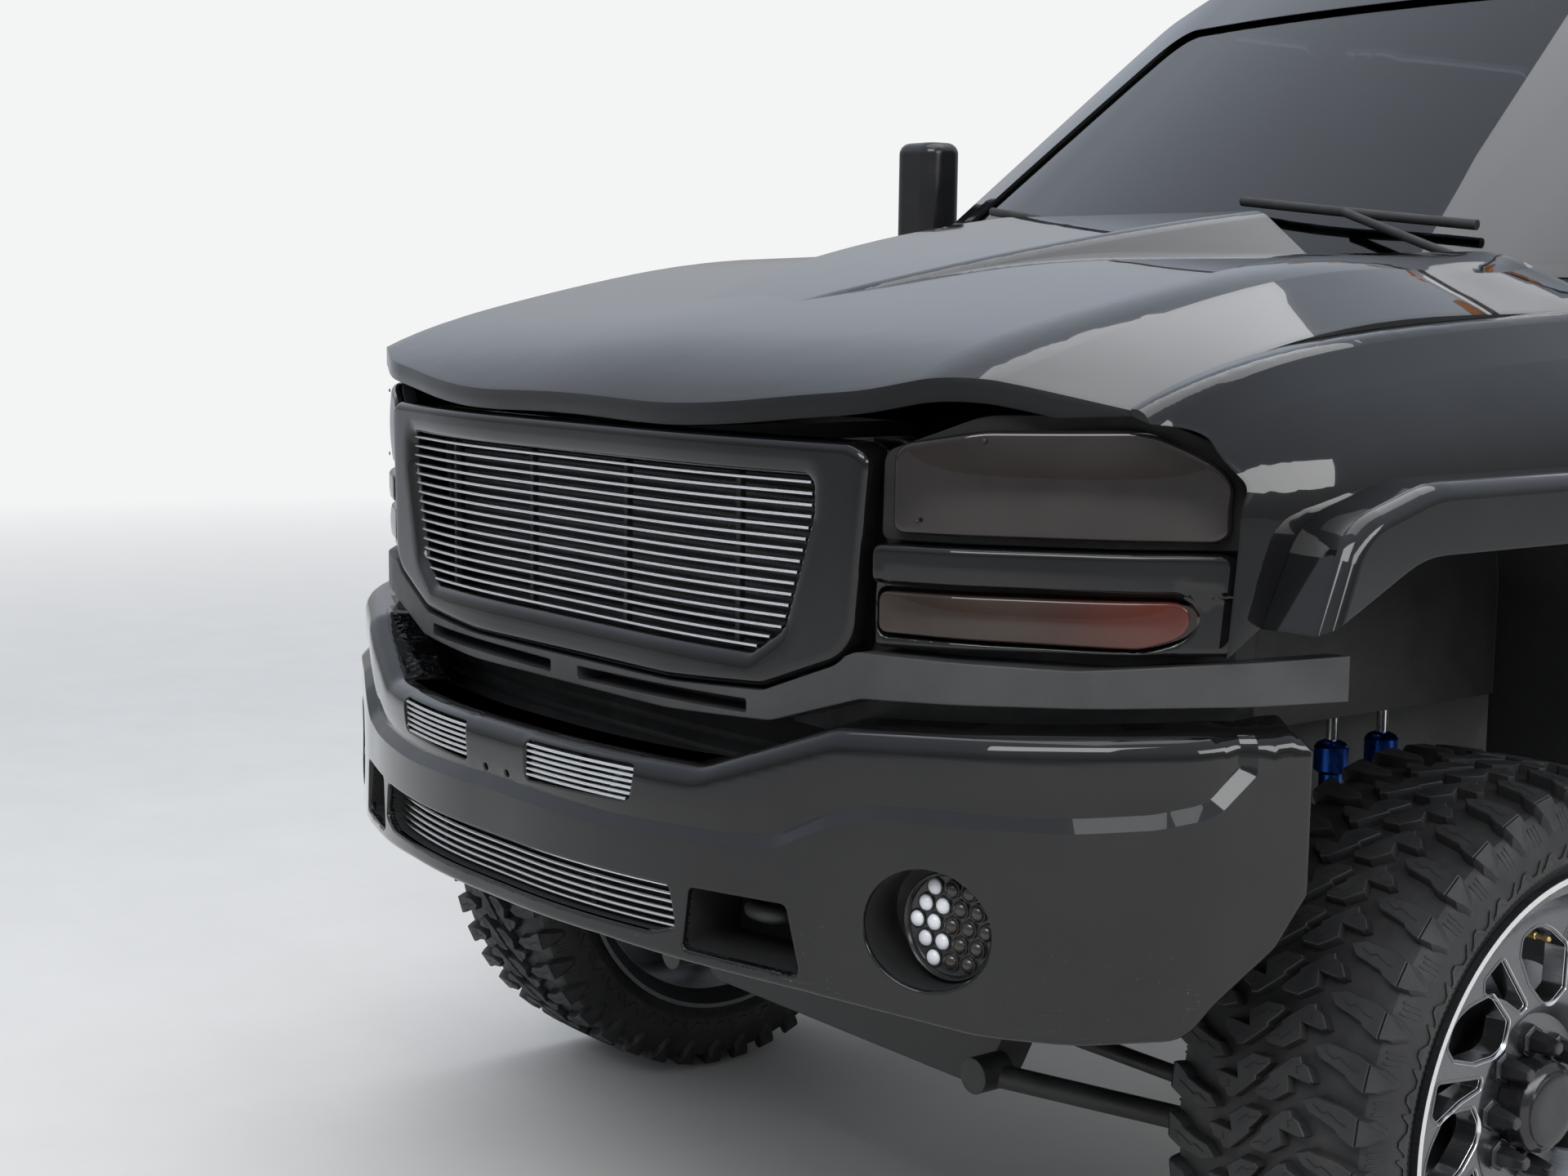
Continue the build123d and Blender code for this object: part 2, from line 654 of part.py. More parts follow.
def make_front_bumper():
    wall = band(BUMPER_LINE, 0, BUMPER_DEPTH, 560, 1000)
    wall &= front_prism(symmetric(BUMPER_FRONT), -50, 700)
    cap = both_sides(front_prism(CAP_OUTLINE, -50, 520))
    wall -= cap & band(BUMPER_LINE, -60, CAP_SET_IN, 560, 1050)
    shelf = band(BUMPER_LINE, 20, 85, 868, 884) & front_prism(symmetric([(395, 860), (395, 890)]), -50, 700)
    bumper = wall + shelf
    for side in (-1, 1):
        for outline in (SMALL_GRILLE, HOOK_OPENING):
            hole = [(side * p[0], p[1], p[2]) for p in outline]
            bumper -= front_prism(hole, -50, 400)
        for x, height, radius in ((FOG_X, FOG_HEIGHT, FOG_RADIUS),
                                  (PLATE_HOLE_X, PLATE_HOLE_HEIGHT, PLATE_HOLE)):
            bumper -= rod((side * x, -50, height), (side * x, 500, height), radius)
        bumper += bumper_bracket(side)
    bumper -= front_prism(symmetric(LOWER_OPENING), -50, 400)
    return bumper


def bumper_bracket(side):
    """A bracket from the bumper's back to the end of a frame rail."""
    x = side_span(side, RAIL_INNER, RAIL_OUTER)
    plate = block(x, (70, RAIL_FRONT - SEAT_GAP), (745, 840))
    return plate - (band(BUMPER_LINE, -200, 5, 500, 1000) & block(x, (0, RAIL_FRONT), (700, 900)))


def bars(outline, low, high, count, thickness, near, far, line):
    """Polished bars with a round front, cut to an opening's outline."""
    pitch = (high - low - thickness) / (count - 1)
    grille = None
    for i in range(count):
        base = low + i * pitch
        bar = band(line, near, far, base, base + thickness)
        bar &= front_prism(outline, -50, 400)
        grille = bar if grille is None else grille + bar
    return grille


GRILLE_OPENING = [(500, 1250, 12), (500, 1205, 30), (455, 1062, 30), (400, 1026, 25)]
GRILLE_BARS = 16
BAR_THICKNESS = 4.5
SMALL_BARS = 6
SUPPORT_X = (120, 361)


def make_grilles():
    outline = symmetric([(p[0] - 0.5, p[1], p[2]) for p in GRILLE_OPENING])
    main = bars(outline, 1031, 1247, GRILLE_BARS, BAR_THICKNESS, 10, 24, FACE_LINE)
    for side in (-1, 1):
        for x in SUPPORT_X:
            post = block((side * x - 3, side * x + 3), (100, 200), (1029, 1249))
            main += post & band(FACE_LINE, 23, 36, 1000, 1300)
    small = [(80, 824, 6), (82, 875, 6), (302, 875, 6), (292, 831, 10)]
    result = main
    for side in (-1, 1):
        outline = [(side * p[0], p[1], p[2]) for p in small]
        insert = bars(outline, 827, 872, SMALL_BARS, BAR_THICKNESS, 8, 18, BUMPER_LINE)
        post = block((side * 190 - 3, side * 190 + 3), (0, 100), (826, 873))
        result += insert + (post & band(BUMPER_LINE, 17, 26, 500, 1000))
    outline = symmetric([(367.7, 733.7, 10), (379.7, 680.3, 10), (339.9, 668.3, 60)])
    lower = bars(outline, 672, 728, SMALL_BARS, BAR_THICKNESS, 26, 36, BUMPER_LINE)
    for x in (-200, 200):
        lower += block((x - 3, x + 3), (0, 150), (670, 730)) & band(BUMPER_LINE, 35, 44, 500, 1000)
    return result + lower


SURROUND_OUTER = [(560, 1296, 40), (590, 1284, 20), (568, 1040, 60), (425, 985, 60), (250, 974, 400)]


def make_grille_surround():
    shell = band(FACE_LINE, 0, NOSE_DEPTH, 960, 1310) & front_prism(symmetric(SURROUND_OUTER), 0, 400)
    return shell - front_prism(symmetric(GRILLE_OPENING), 0, 400)


LENS = [(618, 1191, 12), (618, 1297, 30), (722, 1317, 100), (870, 1322, 50), (936, 1275, 45),
        (936, 1193, 25)]
TURN_LENS = [(604, 1073, 10), (604, 1121, 10), (905, 1124, 14), (905, 1086, 30), (870, 1070, 30)]
BEZEL = [(592, 1052), (592, 1178, 8), (942, 1182, 8), (942, 1061)]


def on_face(outline, near, far):
    """A piece that follows the nose, both sides, from an outline in front view."""
    piece = band(FACE_LINE, near, far, 900, 1400) & front_prism(outline, 0, 560)
    return both_sides(piece)


def make_headlamps():
    return on_face(LENS, 8, NOSE_DEPTH)


def shrink(outline, amount):
    """An outline moved in from its middle by an amount on each side."""
    xs = [p[0] for p in outline]
    zs = [p[1] for p in outline]
    mid_x = (min(xs) + max(xs)) / 2
    mid_z = (min(zs) + max(zs)) / 2
    moved = []
    for p in outline:
        dx = amount if p[0] < mid_x else -amount
        dz = amount if p[1] < mid_z else -amount
        moved.append((p[0] + dx, p[1] + dz) + tuple(p[2:]))
    return moved


def make_bezels():
    piece = on_face(BEZEL, 4, NOSE_DEPTH)
    return piece - on_face(TURN_LENS, 0, 100)


def make_amber_lamps():
    lamps = on_face(shrink(TURN_LENS, 1.5), 10, NOSE_DEPTH)
    roof = Pos(0, 0, SEAT_GAP) * make_cab_outer()
    for x in ROOF_LAMPS_X:
        lamps += block((x - 45, x + 45), (2085, 2165), (2060, 2142), 20) - roof
    return lamps


ROOF_LAMPS_X = (-340, -170, 0, 170, 340)
VALANCE = [(577, 1046, 30), (810, 1042, 200), (1010, 1064), (1010, 1010), (810, 998, 200), (585, 990, 60),
           (440, 944, 60), (250, 934, 400)]
VALANCE_INNER_TOP = [(250, 970, 400), (428, 980, 60)]


def make_valance():
    outline = symmetric(VALANCE_INNER_TOP + VALANCE)
    strip = band(FACE_LINE, 2, NOSE_DEPTH, 900, 1100) & front_prism(outline, 0, 620)
    for side in (-1, 1):
        slot = [(side * 34, 942, 4), (side * 34, 960, 4), (side * 400, 966, 4), (side * 400, 948, 4)]
        strip -= front_prism(slot, 0, 400)
    grown = [(p[0] + 4, p[1] - 4) + tuple(p[2:]) for p in SURROUND_OUTER]
    return strip - front_prism(symmetric(grown), 0, 400)


def make_fog_lamps():
    lamps = None
    for x in (-FOG_X, FOG_X):
        pod = rod((x, 165, FOG_HEIGHT), (x, 250, FOG_HEIGHT), FOG_RADIUS - 6)
        lamps = pod if lamps is None else lamps + pod
    for x in (-FOG_X, FOG_X):
        rim = rod((x, 0, FOG_HEIGHT), (x, 400, FOG_HEIGHT), FOG_RADIUS - SEAT_GAP)
        lamps += rim & band(BUMPER_LINE, 26, 44, 500, 1000)
    return lamps - band(BUMPER_LINE, -100, 20, 500, 1000)


def make_radiator_support():
    """The black panel behind the lamps and the grille, which carries them and the radiator."""
    panel = band(FACE_LINE, NOSE_DEPTH + SEAT_GAP, SUPPORT_BACK, 925, 1262)
    panel &= front_prism(symmetric([(900, 925), (900, 1262)]), 0, 600)
    panel -= front_prism(symmetric([(470, 900), (470, 1240, 20)]), 0, 600)
    for side in (-1, 1):
        x = side_span(side, RAIL_INNER, RAIL_OUTER)
        panel += block(x, (RAIL_FRONT + 4, RAIL_FRONT + 34), (RAIL_HIGH, 960))
        panel += block(x, (215, RAIL_FRONT + 34), (930, 960))
        x = side_span(side, RAIL_INNER, 520)
        panel += block(x, (225, RAIL_FRONT + 34), (930, 960))
    return panel


def make_radiator():
    core = block((-466, 466), (232, 280), (960 + SEAT_GAP, 1236))
    return core


ENGINE_REAR = 1300


def make_engine():
    block_body = front_prism([(-210, 640), (-330, 1000, 30), (-330, 1180, 60), (330, 1180, 60), (330, 1000, 30),
                              (210, 640)], 420, ENGINE_REAR)
    for side in (-1, 1):
        x = side_span(side, 330, RAIL_INNER)
        block_body += block((side * 300 - 30, side * 300 + 30), (800, 900), (820, 900))
        block_body += block(x, (820, 880), (780, 860))
    return block_body


# Frame

def make_frame():
    frame = None
    for side in (-1, 1):
        x = side_span(side, RAIL_INNER, RAIL_OUTER)
        rail = block(x, (RAIL_FRONT, RAIL_REAR), (RAIL_LOW, RAIL_HIGH))
        frame = rail if frame is None else frame + rail
        for station in (1640, 2520, 3400, 3780):
            frame += rod((side * RAIL_X, station, RAIL_HIGH), (side * RAIL_X, station, FLOOR_LOW), 38)
    for station in (2350, 3300, 4250, 5400, RAIL_REAR - 60):
        frame += block((-RAIL_INNER, RAIL_INNER), (station, station + 60), (RAIL_LOW + 110, RAIL_HIGH - 10))
    frame += front_crossmember(620, 690) + front_crossmember(1250, 1320)
    for side in (-1, 1):
        frame += tow_hook(side * (RAIL_X + 32))
    return frame


def front_crossmember(start, end):
    """A drop crossmember with ears for the lower arms' pivots."""
    bar = front_prism([(-RAIL_OUTER, RAIL_LOW), (-RAIL_OUTER, 640), (-330, 340, 40), (330, 340, 40),
                       (RAIL_OUTER, 640), (RAIL_OUTER, RAIL_LOW), (RAIL_INNER, RAIL_LOW), (290, 420, 60),
                       (-290, 420, 60), (-RAIL_INNER, RAIL_LOW)], start, end)
    return bar


def tow_hook(x):
    """A hook of round bar, open to one side, that runs forward from the rail's outer face."""
    side = 1 if x > 0 else -1
    plate = block(side_span(side, RAIL_OUTER, RAIL_OUTER + 12), (RAIL_FRONT - 40, RAIL_FRONT + 120),
                  (RAIL_LOW, 745))
    start = side * (RAIL_OUTER + 6)
    hook = tube_path([(start, RAIL_FRONT - 20, 706), (start, 120, 706), (start - side * 60, 120, 706),
                      (start - side * 60, 170, 706)], 11, 24)
    return plate + hook


# Front suspension

LOWER_PIVOT = (372, 380)
UPPER_PIVOT = (428, 712)
ARM_RADIUS = 17


def make_control_arms():
    arms = None
    for side in (-1, 1):
        ball_low = (side * KINGPIN_X, FRONT_AXLE, KINGPIN_LOW)
        ball_high = (side * KINGPIN_X, FRONT_AXLE, KINGPIN_HIGH)
        x = side * KINGPIN_X
        low = rod((x, FRONT_AXLE, KINGPIN_LOW - 22), (x, FRONT_AXLE, KINGPIN_LOW + 22), 32)
        for station, crossmember in ((590, 620), (1220, 1250)):
            pivot = (side * LOWER_PIVOT[0], station, LOWER_PIVOT[1])
            end = crossmember - SEAT_GAP
            low += rod((pivot[0], station - 26, pivot[2]), (pivot[0], end, pivot[2]), 26)
            low += rod(pivot, ball_low, ARM_RADIUS)
        high = rod((x, FRONT_AXLE, KINGPIN_HIGH - 16), (x, FRONT_AXLE, KINGPIN_HIGH + 16), 30)
        for station in (FRONT_AXLE - 110, FRONT_AXLE + 110):
            pivot = (side * (RAIL_OUTER + 24), station, UPPER_PIVOT[1])
            high += rod((pivot[0], station - 24, pivot[2]), (pivot[0], station + 24, pivot[2]), 22)
            high += block(side_span(side, RAIL_OUTER + SEAT_GAP, RAIL_OUTER + 24), (station - 20, station + 20),
                          (UPPER_PIVOT[1] - 15, UPPER_PIVOT[1] + 15))
            high += rod(pivot, ball_high, 14)
        perch = block((side * 560 - 22, side * 560 + 22), (FRONT_AXLE + 20, 1235), (700, 722))
        high += perch
        for piece in (low, high):
            piece -= rod((x, FRONT_AXLE, 200), (x, FRONT_AXLE, 700), BALL_BORE_RADIUS)
            arms = piece if arms is None else arms + piece
    return arms


SHOCK_TOP = 1180


def make_shocks():
    shocks = None
    for side in (-1, 1):
        for station in (1085, 1200):
            x = side * 560
            eye = rod((x, station, 722 + SEAT_GAP), (x, station, 790), 16)
            cap = rod((x, station, 790), (x, station, 830), 26)
            shaft = rod((x, station, 830), (x, station, 980), 9)
            body = rod((x, station, 980), (x, station, SHOCK_TOP), 33)
            shock = eye + cap + shaft + body
            shocks = shock if shocks is None else shocks + shock
        for station in (1045, 1250):
            shocks += block((side * 560 - 12, side * 560 + 12), (station - 12, station + 12),
                            (1150, SHOCK_TOP + 30))
        hoop = block((side * 560 - 20, side * 560 + 20), (1030, 1265), (SHOCK_TOP, SHOCK_TOP + 12))
        hoop += block(side_span(side, 420, 560), (1125, 1165), (SHOCK_TOP, SHOCK_TOP + 12))
        hoop += block((side * 440 - 20, side * 440 + 20), (1125, 1165), (RAIL_HIGH, SHOCK_TOP + 12))
        shocks += hoop
    return shocks


def make_knuckle(side):
    x = side * KINGPIN_X
    stud_low = rod((x, FRONT_AXLE, KINGPIN_LOW - 24), (x, FRONT_AXLE, KINGPIN_LOW + 45), BALL_STUD_RADIUS)
    stud_high = rod((x, FRONT_AXLE, KINGPIN_HIGH - 40), (x, FRONT_AXLE, KINGPIN_HIGH + 18), BALL_STUD_RADIUS)
    low = KINGPIN_LOW + 22 + 3
    high = KINGPIN_HIGH - 16 - 3
    spine_x = side_span(side, KINGPIN_X + 34, KINGPIN_X + 76)
    spine = block(spine_x, (FRONT_AXLE - 40, FRONT_AXLE + 40), (low, high), 12)
    lug_x = side_span(side, KINGPIN_X - 22, KINGPIN_X + 50)
    lug_station = (FRONT_AXLE - 26, FRONT_AXLE + 26)
    lug_low = block(lug_x, lug_station, (low, STEERING_ARM_TOP + 6), 10)
    lug_high = block(lug_x, lug_station, (high - 36, high), 10)
    bearing = rod((x + side * 34, FRONT_AXLE, AXLE_HEIGHT), (x + side * 110, FRONT_AXLE, AXLE_HEIGHT), 72)
    arm = block((x - 18, x + 18), (FRONT_AXLE - STEERING_ARM - 18, FRONT_AXLE - 18),
                (STEERING_ARM_TOP - 22, STEERING_ARM_TOP), 8)
    knuckle = stud_low + stud_high + spine + lug_low + lug_high + bearing + arm
    spindle = rod((x + side * 30, FRONT_AXLE, AXLE_HEIGHT), (side * (HUB_MOUNT_X - 8), FRONT_AXLE, AXLE_HEIGHT),
                  SPINDLE_RADIUS)
    return knuckle + spindle


def make_tie_rod():
    """The bar that joins the steering arms, just above their ends."""
    height = STEERING_ARM_TOP + SEAT_GAP
    station = FRONT_AXLE - STEERING_ARM
    bar = None
    for side in (-1, 1):
        eye = rod((side * KINGPIN_X, station, height), (side * KINGPIN_X, station, height + 26), 19)
        bar = eye if bar is None else bar + eye
    return bar + rod((-KINGPIN_X + 6, station, height + 13), (KINGPIN_X - 6, station, height + 13), 12.5)


# Wheels and tyres, made once for the front left corner

TYRE_MIDDLE_X = (TYRE_INNER_X + TYRE_OUTER_X) / 2
TREAD_FLOOR = TYRE_RADIUS - TREAD_DEPTH
PITCH_COUNT = 40
LUG_SHARE = 0.58
LUG_LEAN = 0.5 - LUG_SHARE / 2
LUG_END_SLOPE = 9
SHOULDER = (TYRE_OUTER_X - TYRE_MIDDLE_X - 14, TYRE_RADIUS - 3)
SHOULDER_FOOT = (TYRE_OUTER_X - TYRE_MIDDLE_X - 25, TREAD_FLOOR - 4)
SIDEWALL = (TYRE_OUTER_X - TYRE_MIDDLE_X, 385)
BEAD_SIDES = PITCH_COUNT / 2
FLAT_TO_CORNER = 1 / cos(pi / BEAD_SIDES)
BEAD_TOP = (RIM_OUTER_X - FLANGE_THICKNESS - SEAT_GAP - TYRE_MIDDLE_X, (RIM_LIP_RADIUS + 1) * FLAT_TO_CORNER)
BEAD_FOOT = (BEAD_TOP[0] - 4, (BARREL_RADIUS + BARREL_BEAD_STEP + SEAT_GAP) * FLAT_TO_CORNER)


def facet(*points):
    return Face(Wire.make_polygon(points, close=True))


def tread_spot(turn, place, share):
    """A point beside the tread's middle, by its distance, its radius and its angle in pitches."""
    angle = turn * share * 2 * pi / PITCH_COUNT
    x = TYRE_MIDDLE_X + turn * place[0]
    return (x, y_at(FRONT_AXLE) - place[1] * sin(angle), AXLE_HEIGHT + place[1] * cos(angle))


def tyre_half(turn):
    """One row of slanted lugs and its side wall; the other row is the same, turned half round."""
    facets = []
    for i in range(PITCH_COUNT):
        lug_end = LUG_LEAN + LUG_SHARE
        foot = [tread_spot(turn, (0, TREAD_FLOOR), i + share) for share in (0, 0.5, 1)]
        crest = [tread_spot(turn, (LUG_END_SLOPE, TYRE_RADIUS), i + share) for share in (0, 0.5)]
        edge = [tread_spot(turn, SHOULDER, i + share) for share in (LUG_LEAN, lug_end)]
        base = [tread_spot(turn, SHOULDER_FOOT, i + share) for share in (LUG_LEAN, lug_end, 1 + LUG_LEAN)]
        side = [tread_spot(turn, SIDEWALL, i + share) for share in (0.5, 1.5)]
        top = [facet(crest[0], crest[1], edge[1]), facet(crest[0], edge[1], edge[0])]
        end = [facet(foot[0], foot[1], crest[1], crest[0]), facet(edge[0], edge[1], side[0])]
        front = [facet(foot[0], crest[0], edge[0]), facet(foot[0], edge[0], base[0]),
                 facet(edge[0], side[0], base[0])]
        rear = [facet(foot[1], edge[1], crest[1]), facet(foot[1], base[1], edge[1]),
                facet(edge[1], base[1], side[0])]
        groove = [facet(foot[1], foot[2], base[2]), facet(foot[1], base[2], base[1]),
                  facet(base[1], base[2], side[1]), facet(base[1], side[1], side[0])]
        facets += top + end + front + rear + groove
    for i in range(0, PITCH_COUNT, 2):
        side = [tread_spot(turn, SIDEWALL, i + share) for share in (0.5, 1.5, 2.5)]
        bead = [tread_spot(turn, BEAD_TOP, i + share) for share in (1, 3)]
        foot = [tread_spot(turn, BEAD_FOOT, i + share) for share in (1, 3)]
        facets += [facet(side[0], side[1], bead[0]), facet(side[1], side[2], bead[1]),
                   facet(side[1], bead[1], bead[0]), facet(bead[0], bead[1], foot[1], foot[0])]
    return facets


def make_tyre():
    """A mud tyre with big shoulder lugs; it is solid inside, where the wheel closes it."""
    bore = []
    for i in range(1, PITCH_COUNT, 2):
        bore.append(facet(tread_spot(1, BEAD_FOOT, i), tread_spot(1, BEAD_FOOT, i + 2),
                          tread_spot(-1, BEAD_FOOT, -i - 2), tread_spot(-1, BEAD_FOOT, -i)))
    return Solid(Shell(tyre_half(1) + tyre_half(-1) + bore))


# Windows of the wheel's face: radius, degrees from the top towards the front, corner radius
WINDOW_COUNT = 8
BIG_WINDOW = [(243, 15.5, 10), (250, 8, 40), (236, 1, 60), (212, -8.8, 8), (157, -11.2, 6), (136, -1, 20),
              (146, 7, 25), (178, 15, 15), (222, 17.8, 10)]
SMALL_WINDOW = [(240, 26.5, 6), (153, 19.5, 4), (152, 24.5, 4), (185, 31, 20), (226, 38.5, 6), (239, 36, 5)]


def ring(points):
    """A solid of revolution about the front axle; points are x and radius."""
    face = outline_face(points, lambda x, r: (x, y_at(FRONT_AXLE), AXLE_HEIGHT + r))
    return revolve(face, axis=Axis((0, y_at(FRONT_AXLE), AXLE_HEIGHT), (1, 0, 0)))


def wheel_place(radius, degrees):
    angle = radians(degrees)
    return (FRONT_AXLE - radius * sin(angle), AXLE_HEIGHT + radius * cos(angle))


def window(points, turn):
    """A hole through the wheel's face, from its outline in radius and degrees."""
    outline = [wheel_place(radius, degrees + turn) + (corner,) for radius, degrees, corner in points]
    return side_prism(outline, HUB_MOUNT_X - 10, RIM_OUTER_X)


def make_wheel():
    seat = BARREL_RADIUS + BARREL_BEAD_STEP
    inside = BARREL_RADIUS - BARREL_WALL + 2
    rim = [(RIM_INNER_X, RIM_LIP_RADIUS), (RIM_INNER_X + FLANGE_THICKNESS, RIM_LIP_RADIUS),
           (RIM_INNER_X + FLANGE_THICKNESS + 4, seat), (RIM_OUTER_X - FLANGE_THICKNESS - 4, seat),
           (RIM_OUTER_X - FLANGE_THICKNESS, RIM_LIP_RADIUS), (RIM_OUTER_X, RIM_LIP_RADIUS),
           (RIM_OUTER_X, RIM_LIP_RADIUS - 8), (RIM_OUTER_X - 22, inside, 6), (RIM_INNER_X + 22, inside, 6),
           (RIM_INNER_X, RIM_LIP_RADIUS - 8)]
    spoke_back = SPOKE_X - SPOKE_THICKNESS
    face = ring([(HUB_MOUNT_X, 36), (HUB_MOUNT_X, HUB_PAD_RADIUS), (spoke_back, HUB_PAD_RADIUS + 20),
                 (spoke_back, inside + 1), (SPOKE_X - 12, inside + 1), (SPOKE_X, 262, 30),
                 (SPOKE_X, HUB_PAD_RADIUS + 20, 20), (WHEEL_FACE_X, HUB_PAD_RADIUS - 2), (WHEEL_FACE_X, 36)])
    for i in range(WINDOW_COUNT):
        turn = 360 / WINDOW_COUNT * i
        face -= window(BIG_WINDOW, turn)
        face -= window(SMALL_WINDOW, turn)
    wheel = ring(rim) + face
    wheel += disc(HUB_MOUNT_X - 4, FRONT_AXLE, AXLE_HEIGHT, HUB_CAP_RADIUS, 62)
    wheel += disc(HUB_MOUNT_X + 50, FRONT_AXLE, AXLE_HEIGHT, HUB_CAP_RADIUS - 10, 18)
    for i in range(LUG_COUNT):
        station, height = wheel_place(LUG_CIRCLE_RADIUS, 360 / LUG_COUNT * i)
        wheel += disc(WHEEL_FACE_X - 5, station, height, LUG_BASE_RADIUS, 11)
        spike = Cone(LUG_RADIUS, LUG_RADIUS / 2, 44, align=(Align.CENTER, Align.CENTER, Align.MIN))
        wheel += Plane(origin=(WHEEL_FACE_X, y_at(station), height), z_dir=(1, 0, 0)) * spike
    wheel += disc(HUB_MOUNT_X - 40, FRONT_AXLE, AXLE_HEIGHT, BRAKE_RADIUS, 28)
    wheel += disc(HUB_MOUNT_X - 40, FRONT_AXLE, AXLE_HEIGHT, BRAKE_HAT_RADIUS, 42)
    return wheel - disc(HUB_MOUNT_X - 45, FRONT_AXLE, AXLE_HEIGHT, SPINDLE_RADIUS + SEAT_GAP, 42)


# Rear axle and driveline

def make_rear_axle():
    axle = None
    for side in (-1, 1):
        piece = block((side * 560 - 38, side * 560 + 38), (REAR_AXLE - 20, REAR_AXLE + 20),
                      (AXLE_HEIGHT, 562.8))
        for start, end, radius in ((100, HUB_MOUNT_X - 50, 52),
                                   (HUB_MOUNT_X - 60, HUB_MOUNT_X - 8, SPINDLE_RADIUS),
                                   (HUB_MOUNT_X - 90, HUB_MOUNT_X - 76, 110)):
            piece += rod((side * start, REAR_AXLE, AXLE_HEIGHT), (side * end, REAR_AXLE, AXLE_HEIGHT), radius)
        axle = piece if axle is None else axle + piece
    # The ball's own axis runs along the tubes, so that its seam ends in them.
    pumpkin = Pos(0, y_at(REAR_AXLE), AXLE_HEIGHT) * Rot(0, 90, 0) * Sphere(165)
    return axle + pumpkin


def make_leaf_springs():
    springs = None
    for side in (-1, 1):
        x = (side * 560 - 32, side * 560 + 32)
        line = [(4180, 640), (4500, 580, 900), (REAR_AXLE, 561, 1500), (5210, 580, 900), (5540, 640)]
        pack = offset_path(line, 42)
        outline = line + list(reversed(pack))
        leaves = side_prism(outline, x[0], x[1])
        for station in (4180, 5540):
            eye = rod((x[0], station, 662), (x[1], station, 662), 26)
            leaves += eye
        hanger_x = (side * (RAIL_OUTER + SEAT_GAP), side * 560 - side * 34)
        for station in (4180, 5540):
            leaves += rod((hanger_x[0], station, 735), (side * 580, station, 735), 22)
            leaves += block(x, (station - 8, station + 8), (670, 735))
        springs = leaves if springs is None else springs + leaves
    return springs


def make_driveline():
    gearbox = front_prism([(-130, 630, 40), (-190, 760, 60), (-150, 880, 40), (150, 880, 40), (190, 760, 60),
                           (130, 630, 40)], ENGINE_REAR + SEAT_GAP, 2349)
    rear = rod((0, 2348, 720), (0, REAR_AXLE - 166, 470), 42)
    front = rod((110, 1900, 640), (70, FRONT_AXLE + 196, 470), 26)
    case = block((60, 180), (1850, 2100), (590, 700), 20)
    return gearbox + rear + front + case


def make_front_axle():
    """The front differential and its half shafts, at the straight-ahead pose."""
    housing = Pos(60, y_at(FRONT_AXLE), 452) * Rot(0, 90, 0) * Sphere(125)
    nose = rod((66, FRONT_AXLE + 60, 460), (70, FRONT_AXLE + 189, 468), 40)
    cross = rod((-330, FRONT_AXLE, 452), (330, FRONT_AXLE, 452), 48)
    axle = housing + nose + cross
    for side in (-1, 1):
        axle += rod((side * 300, FRONT_AXLE, 452), (side * 700, FRONT_AXLE, AXLE_HEIGHT), 20)
        axle += rod((side * 690, FRONT_AXLE, AXLE_HEIGHT), (side * 770, FRONT_AXLE, AXLE_HEIGHT), 44)
        axle += block((side * 250 - 25, side * 250 + 25), (FRONT_AXLE - 30, 1250 - SEAT_GAP), (370, 440))
    return axle


def make_exhaust():
    pipe = tube_path([(-250, 1320, 640), (-300, 1700, 600), (-300, 3500, 600), (-300, 4500, 615),
                      (-300, 5150, 600), (-600, 5560, 556), (-940, 5570, 556)], 38, 150)
    muffler = rod((-300, 2700, 600), (-300, 3350, 600), 92)
    hanger = block((-306, -294), (3302, 3358), (600, RAIL_LOW + 110 - SEAT_GAP))
    return pipe + muffler + hanger


def make_fuel_tank():
    tank = front_prism([(RAIL_OUTER + 20, 590, 40), (RAIL_OUTER + 20, 830, 30), (760, 830, 30), (760, 620, 80)],
                       2600, 3550)
    for station in (2780, 3300):
        tank += block((RAIL_OUTER + SEAT_GAP, RAIL_OUTER + 40), (station, station + 40), (720, 800))
    return tank


# Bed

def bed_side_line():
    return [(880, 775, 40), (HALF_WIDTH - 2, 1100, 500), (968, 1400, 300), (958, BED_RAIL_HEIGHT, 12)]


